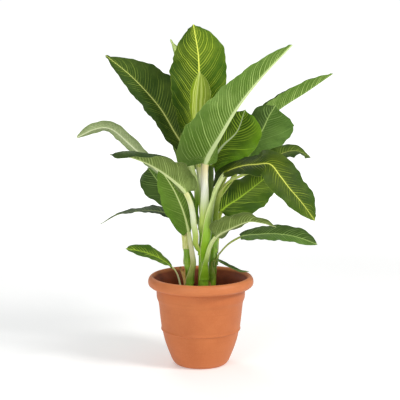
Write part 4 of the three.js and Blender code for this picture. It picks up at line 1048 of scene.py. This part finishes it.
def makeSoilMaterial():
    group, tree, given, result = newGroup("soilPattern", {"Dullness": 0.8})
    place = tree.place()
    lumps = tree.noise(place, 90, 5, 0.65)
    grains = tree.noise(place, 420, 4, 0.7)
    bits = tree.add("TexVoronoi", {"Vector": place, "Scale": 260.0})
    colour = tree.layers(soilColours["dark"], soilColours, (
        ("brown", lumps, 0.35, 0.65), ("grain", grains, 0.5, 0.72, 0, 0.7)))
    pale = tree.step(bits.outputs["Distance"], 0.06, 0.16, 0.5, 0.0)
    tree.put(result["Color"], tree.blend(pale, colour, soilColours["bit"]))
    tree.put(result["Roughness"], tree.plus(given["Dullness"], tree.times(grains, 0.2)))
    tree.put(result["Height"], tree.plus(lumps, grains))
    return newMaterial("soil", group, dict(relief=1.2, specular=0.2))


def makeSoil():
    # The soil's body with a lumpy top, and crumbs lying on it, all in one piece.
    bottom = pot["floor"] + fitGap
    edge = innerRadius(soil["top"]) - soil["gap"]
    profile = [[0, bottom], [soil["bottomRadius"], bottom]]
    profile += [[radius - soil["gap"], z] for radius, z in pot["inside"][1:]]
    profile.append([edge, soil["top"] - soil["edgeDrop"]])
    profile += [[edge * (1 - i / soil["rings"]), soil["top"]] for i in range(soil["rings"])]
    points, faces = turned(profile + [[0, soil["top"]]], soil["sides"])
    points = [[x, y, soilHeight(x, y) if z > soil["top"] - 1 else z] for x, y, z in points]
    luck = random.Random(soil["seed"])
    stems = [(*cane["axis"][1][:2], soil["caneClear"]) for cane in canes.values()] + [soil["suckerSpot"]]
    for _ in range(soil["crumbs"]):
        angle = luck.uniform(0, 2 * math.pi)
        out = edge * math.sqrt(luck.random()) * soil["crumbReach"]
        x, y = out * math.cos(angle), out * math.sin(angle)
        if any(math.hypot(x - sx, y - sy) < clear for sx, sy, clear in stems):
            continue
        addCrumb(points, faces, (x, y, soilHeight(x, y)), luck)
    piece = makeMesh("pottingSoil", points, faces, [makeSoilMaterial()])
    sharpen(piece, 70)
    standFor(piece, "soil")


# Each ring's height and reach are shares of the crumb's size.
crumbForm = dict(sides=6, rings=((-0.5, 0.7), (0.1, 1.0), (0.6, 0.6)))


def addCrumb(points, faces, place, luck):
    # An uneven six-sided crumb, sunk a little into the soil.
    size = luck.uniform(*soil["crumbSize"])
    start = len(points)
    sides = crumbForm["sides"]
    for height, reach in crumbForm["rings"]:
        for k in range(sides):
            angle = 2 * math.pi * k / sides + height
            out = size * reach * luck.uniform(0.7, 1.1)
            points.append([place[0] + out * math.cos(angle), place[1] + out * math.sin(angle),
                           place[2] + size * height * luck.uniform(0.8, 1.1)])
    for r in range(2):
        for k in range(sides):
            a, b = start + sides * r + k, start + sides * r + (k + 1) % sides
            faces.append((a, b, b + sides, a + sides))
    faces.append(tuple(start + k for k in reversed(range(sides))))
    faces.append(tuple(start + 2 * sides + k for k in range(sides)))


# Dried leaf bases on the canes; tone 0 is still yellowish, 1 brown.
dryBases = [
    dict(name="dry_sheath_left", cane="left", foot=268, top=316, facing=-130, reach=(70, 50),
         flare=2.5, wall=1.4, tone=0.0),
    dict(name="dry_stub_left", cane="left", foot=184, top=230, facing=-160, reach=(18, 52),
         flare=9, wall=2, tone=0.8),
    dict(name="dry_stub_right", cane="right", foot=172, top=193, facing=-120, reach=(30, 12),
         flare=3, wall=1.6, tone=1.0),
]
dryGrid = dict(rows=24, columns=18)
dryColours = dict(fresh=srgb(196, 204, 104), lightFresh=srgb(228, 226, 160), freshPatch=srgb(166, 116, 60),
                  brown=srgb(224, 158, 76), lightBrown=srgb(246, 208, 138), brownPatch=srgb(206, 122, 48),
                  end=srgb(152, 104, 56))


def makeDryMaterial():
    group, tree, given, result = newGroup("dryPattern", {"Dullness": 0.65})
    place = tree.place()
    stretched = tree.add("VectorMath", {0: place, 1: (1, 1, 0.15)}, operation="MULTIPLY").outputs[0]
    fibres = tree.noise(stretched, 500, 4)
    patches = tree.noise(place, 60, 3)
    fresh = tree.layers(dryColours["fresh"], dryColours, (
        ("lightFresh", fibres, 0.35, 0.65), ("freshPatch", patches, 0.56, 0.7, 0, 0.7)))
    brown = tree.layers(dryColours["brown"], dryColours, (
        ("lightBrown", fibres, 0.35, 0.65), ("brownPatch", patches, 0.5, 0.75, 0, 0.6)))
    colour = tree.blend(tree.kept("dryTone"), fresh, brown)
    tree.put(result["Color"], tree.blend(tree.kept("dryEnd"), colour, dryColours["end"]))
    tree.put(result["Roughness"], tree.plus(given["Dullness"], tree.times(fibres, 0.2)))
    tree.put(result["Height"], fibres)
    return newMaterial("driedBase", group, dict(relief=0.5, specular=0.3))


def makeDryBase(base, material):
    # A curled strip round the cane with a ragged top edge.
    rows, columns = dryGrid["rows"], dryGrid["columns"]
    across = np.linspace(-1, 1, columns)
    deepTears = 0.18 * np.abs(np.sin(5.3 * across + base["foot"]))
    fineTears = 0.1 * np.abs(np.sin(11.7 * across + 1))
    ragged = 1 - deepTears - fineTears
    points, ends = [], []
    for i in range(rows + 1):
        t = i / rows
        upper, lower = [], []
        for k, u in enumerate(across):
            z = mix(base["foot"], base["top"], t * ragged[k])
            middle, radius = caneAt(canes[base["cane"]], z)
            inner = radius + caneShape["nodeSwell"] + fitGap + base["flare"] * t * t
            angle = math.radians(base["facing"] - u * mix(*base["reach"], t))
            way = np.array([math.cos(angle), math.sin(angle), 0])
            wall = base["wall"] * mix(1, 0.5, max(t, u * u))
            upper.append(middle + way * inner)
            lower.append(middle + way * (inner + wall))
        points += upper + lower[::-1]
        ends += [max(0, t * 5 - 4) * 0.8] * (2 * columns)
    faces = ringFaces(rows + 1, 2 * columns)
    values = {"dryEnd": ends, "dryTone": [base["tone"]] * len(ends)}
    piece = makeMesh("fine_" + base["name"], points, faces, [material], values=values)
    sharpen(piece, 60)
    standFor(piece, base["name"])


def makeFloor():
    # A flat pale floor that grows brighter away from the plant, so that no horizon shows.
    reach = floorLook["reach"]
    points = [(-reach, -reach, 0), (reach, -reach, 0), (reach, reach, 0), (-reach, reach, 0)]
    material = bpy.data.materials.new("paleFloor")
    material.use_nodes = True
    nodes, links = material.node_tree.nodes, material.node_tree.links
    shader = nodes["Principled BSDF"]
    shader.inputs["Base Color"].default_value = floorLook["paint"]
    shader.inputs["Roughness"].default_value = floorLook["roughness"]
    shader.inputs["Specular IOR Level"].default_value = floorLook["specular"]
    shader.inputs["Emission Strength"].default_value = 1
    place = nodes.new("ShaderNodeNewGeometry")
    away = nodes.new("ShaderNodeVectorMath")
    away.operation = "LENGTH"
    glow = nodes.new("ShaderNodeMapRange")
    glow.interpolation_type = "SMOOTHSTEP"
    for name, key, scale in (("From Min", "glowFrom", mm), ("From Max", "glowTo", mm),
                             ("To Min", "glowNear", 1), ("To Max", "glowFar", 1)):
        glow.inputs[name].default_value = floorLook[key] * scale
    links.new(place.outputs["Position"], away.inputs[0])
    links.new(away.outputs["Value"], glow.inputs["Value"])
    links.new(glow.outputs["Result"], shader.inputs["Emission Color"])
    floor = makeMesh("floor", points, [(0, 1, 2, 3)], [material])


addCamera(camera)
for spec in lights:
    addLight(spec)
addWorld()
makeFloor()
print("camera, lights and floor")

makePot()
makeSoil()
print("pot and soil")

caneMaterial = makeCaneMaterial()
for key, cane in canes.items():
    makeCane(key, cane, caneMaterial)
dryMaterial = makeDryMaterial()
for base in dryBases:
    makeDryBase(base, dryMaterial)
print("canes and dried bases")

leafMaterials = makeLeafMaterials()
for spec in leaves:
    Leaf(spec).build(leafMaterials)
print("leaves")
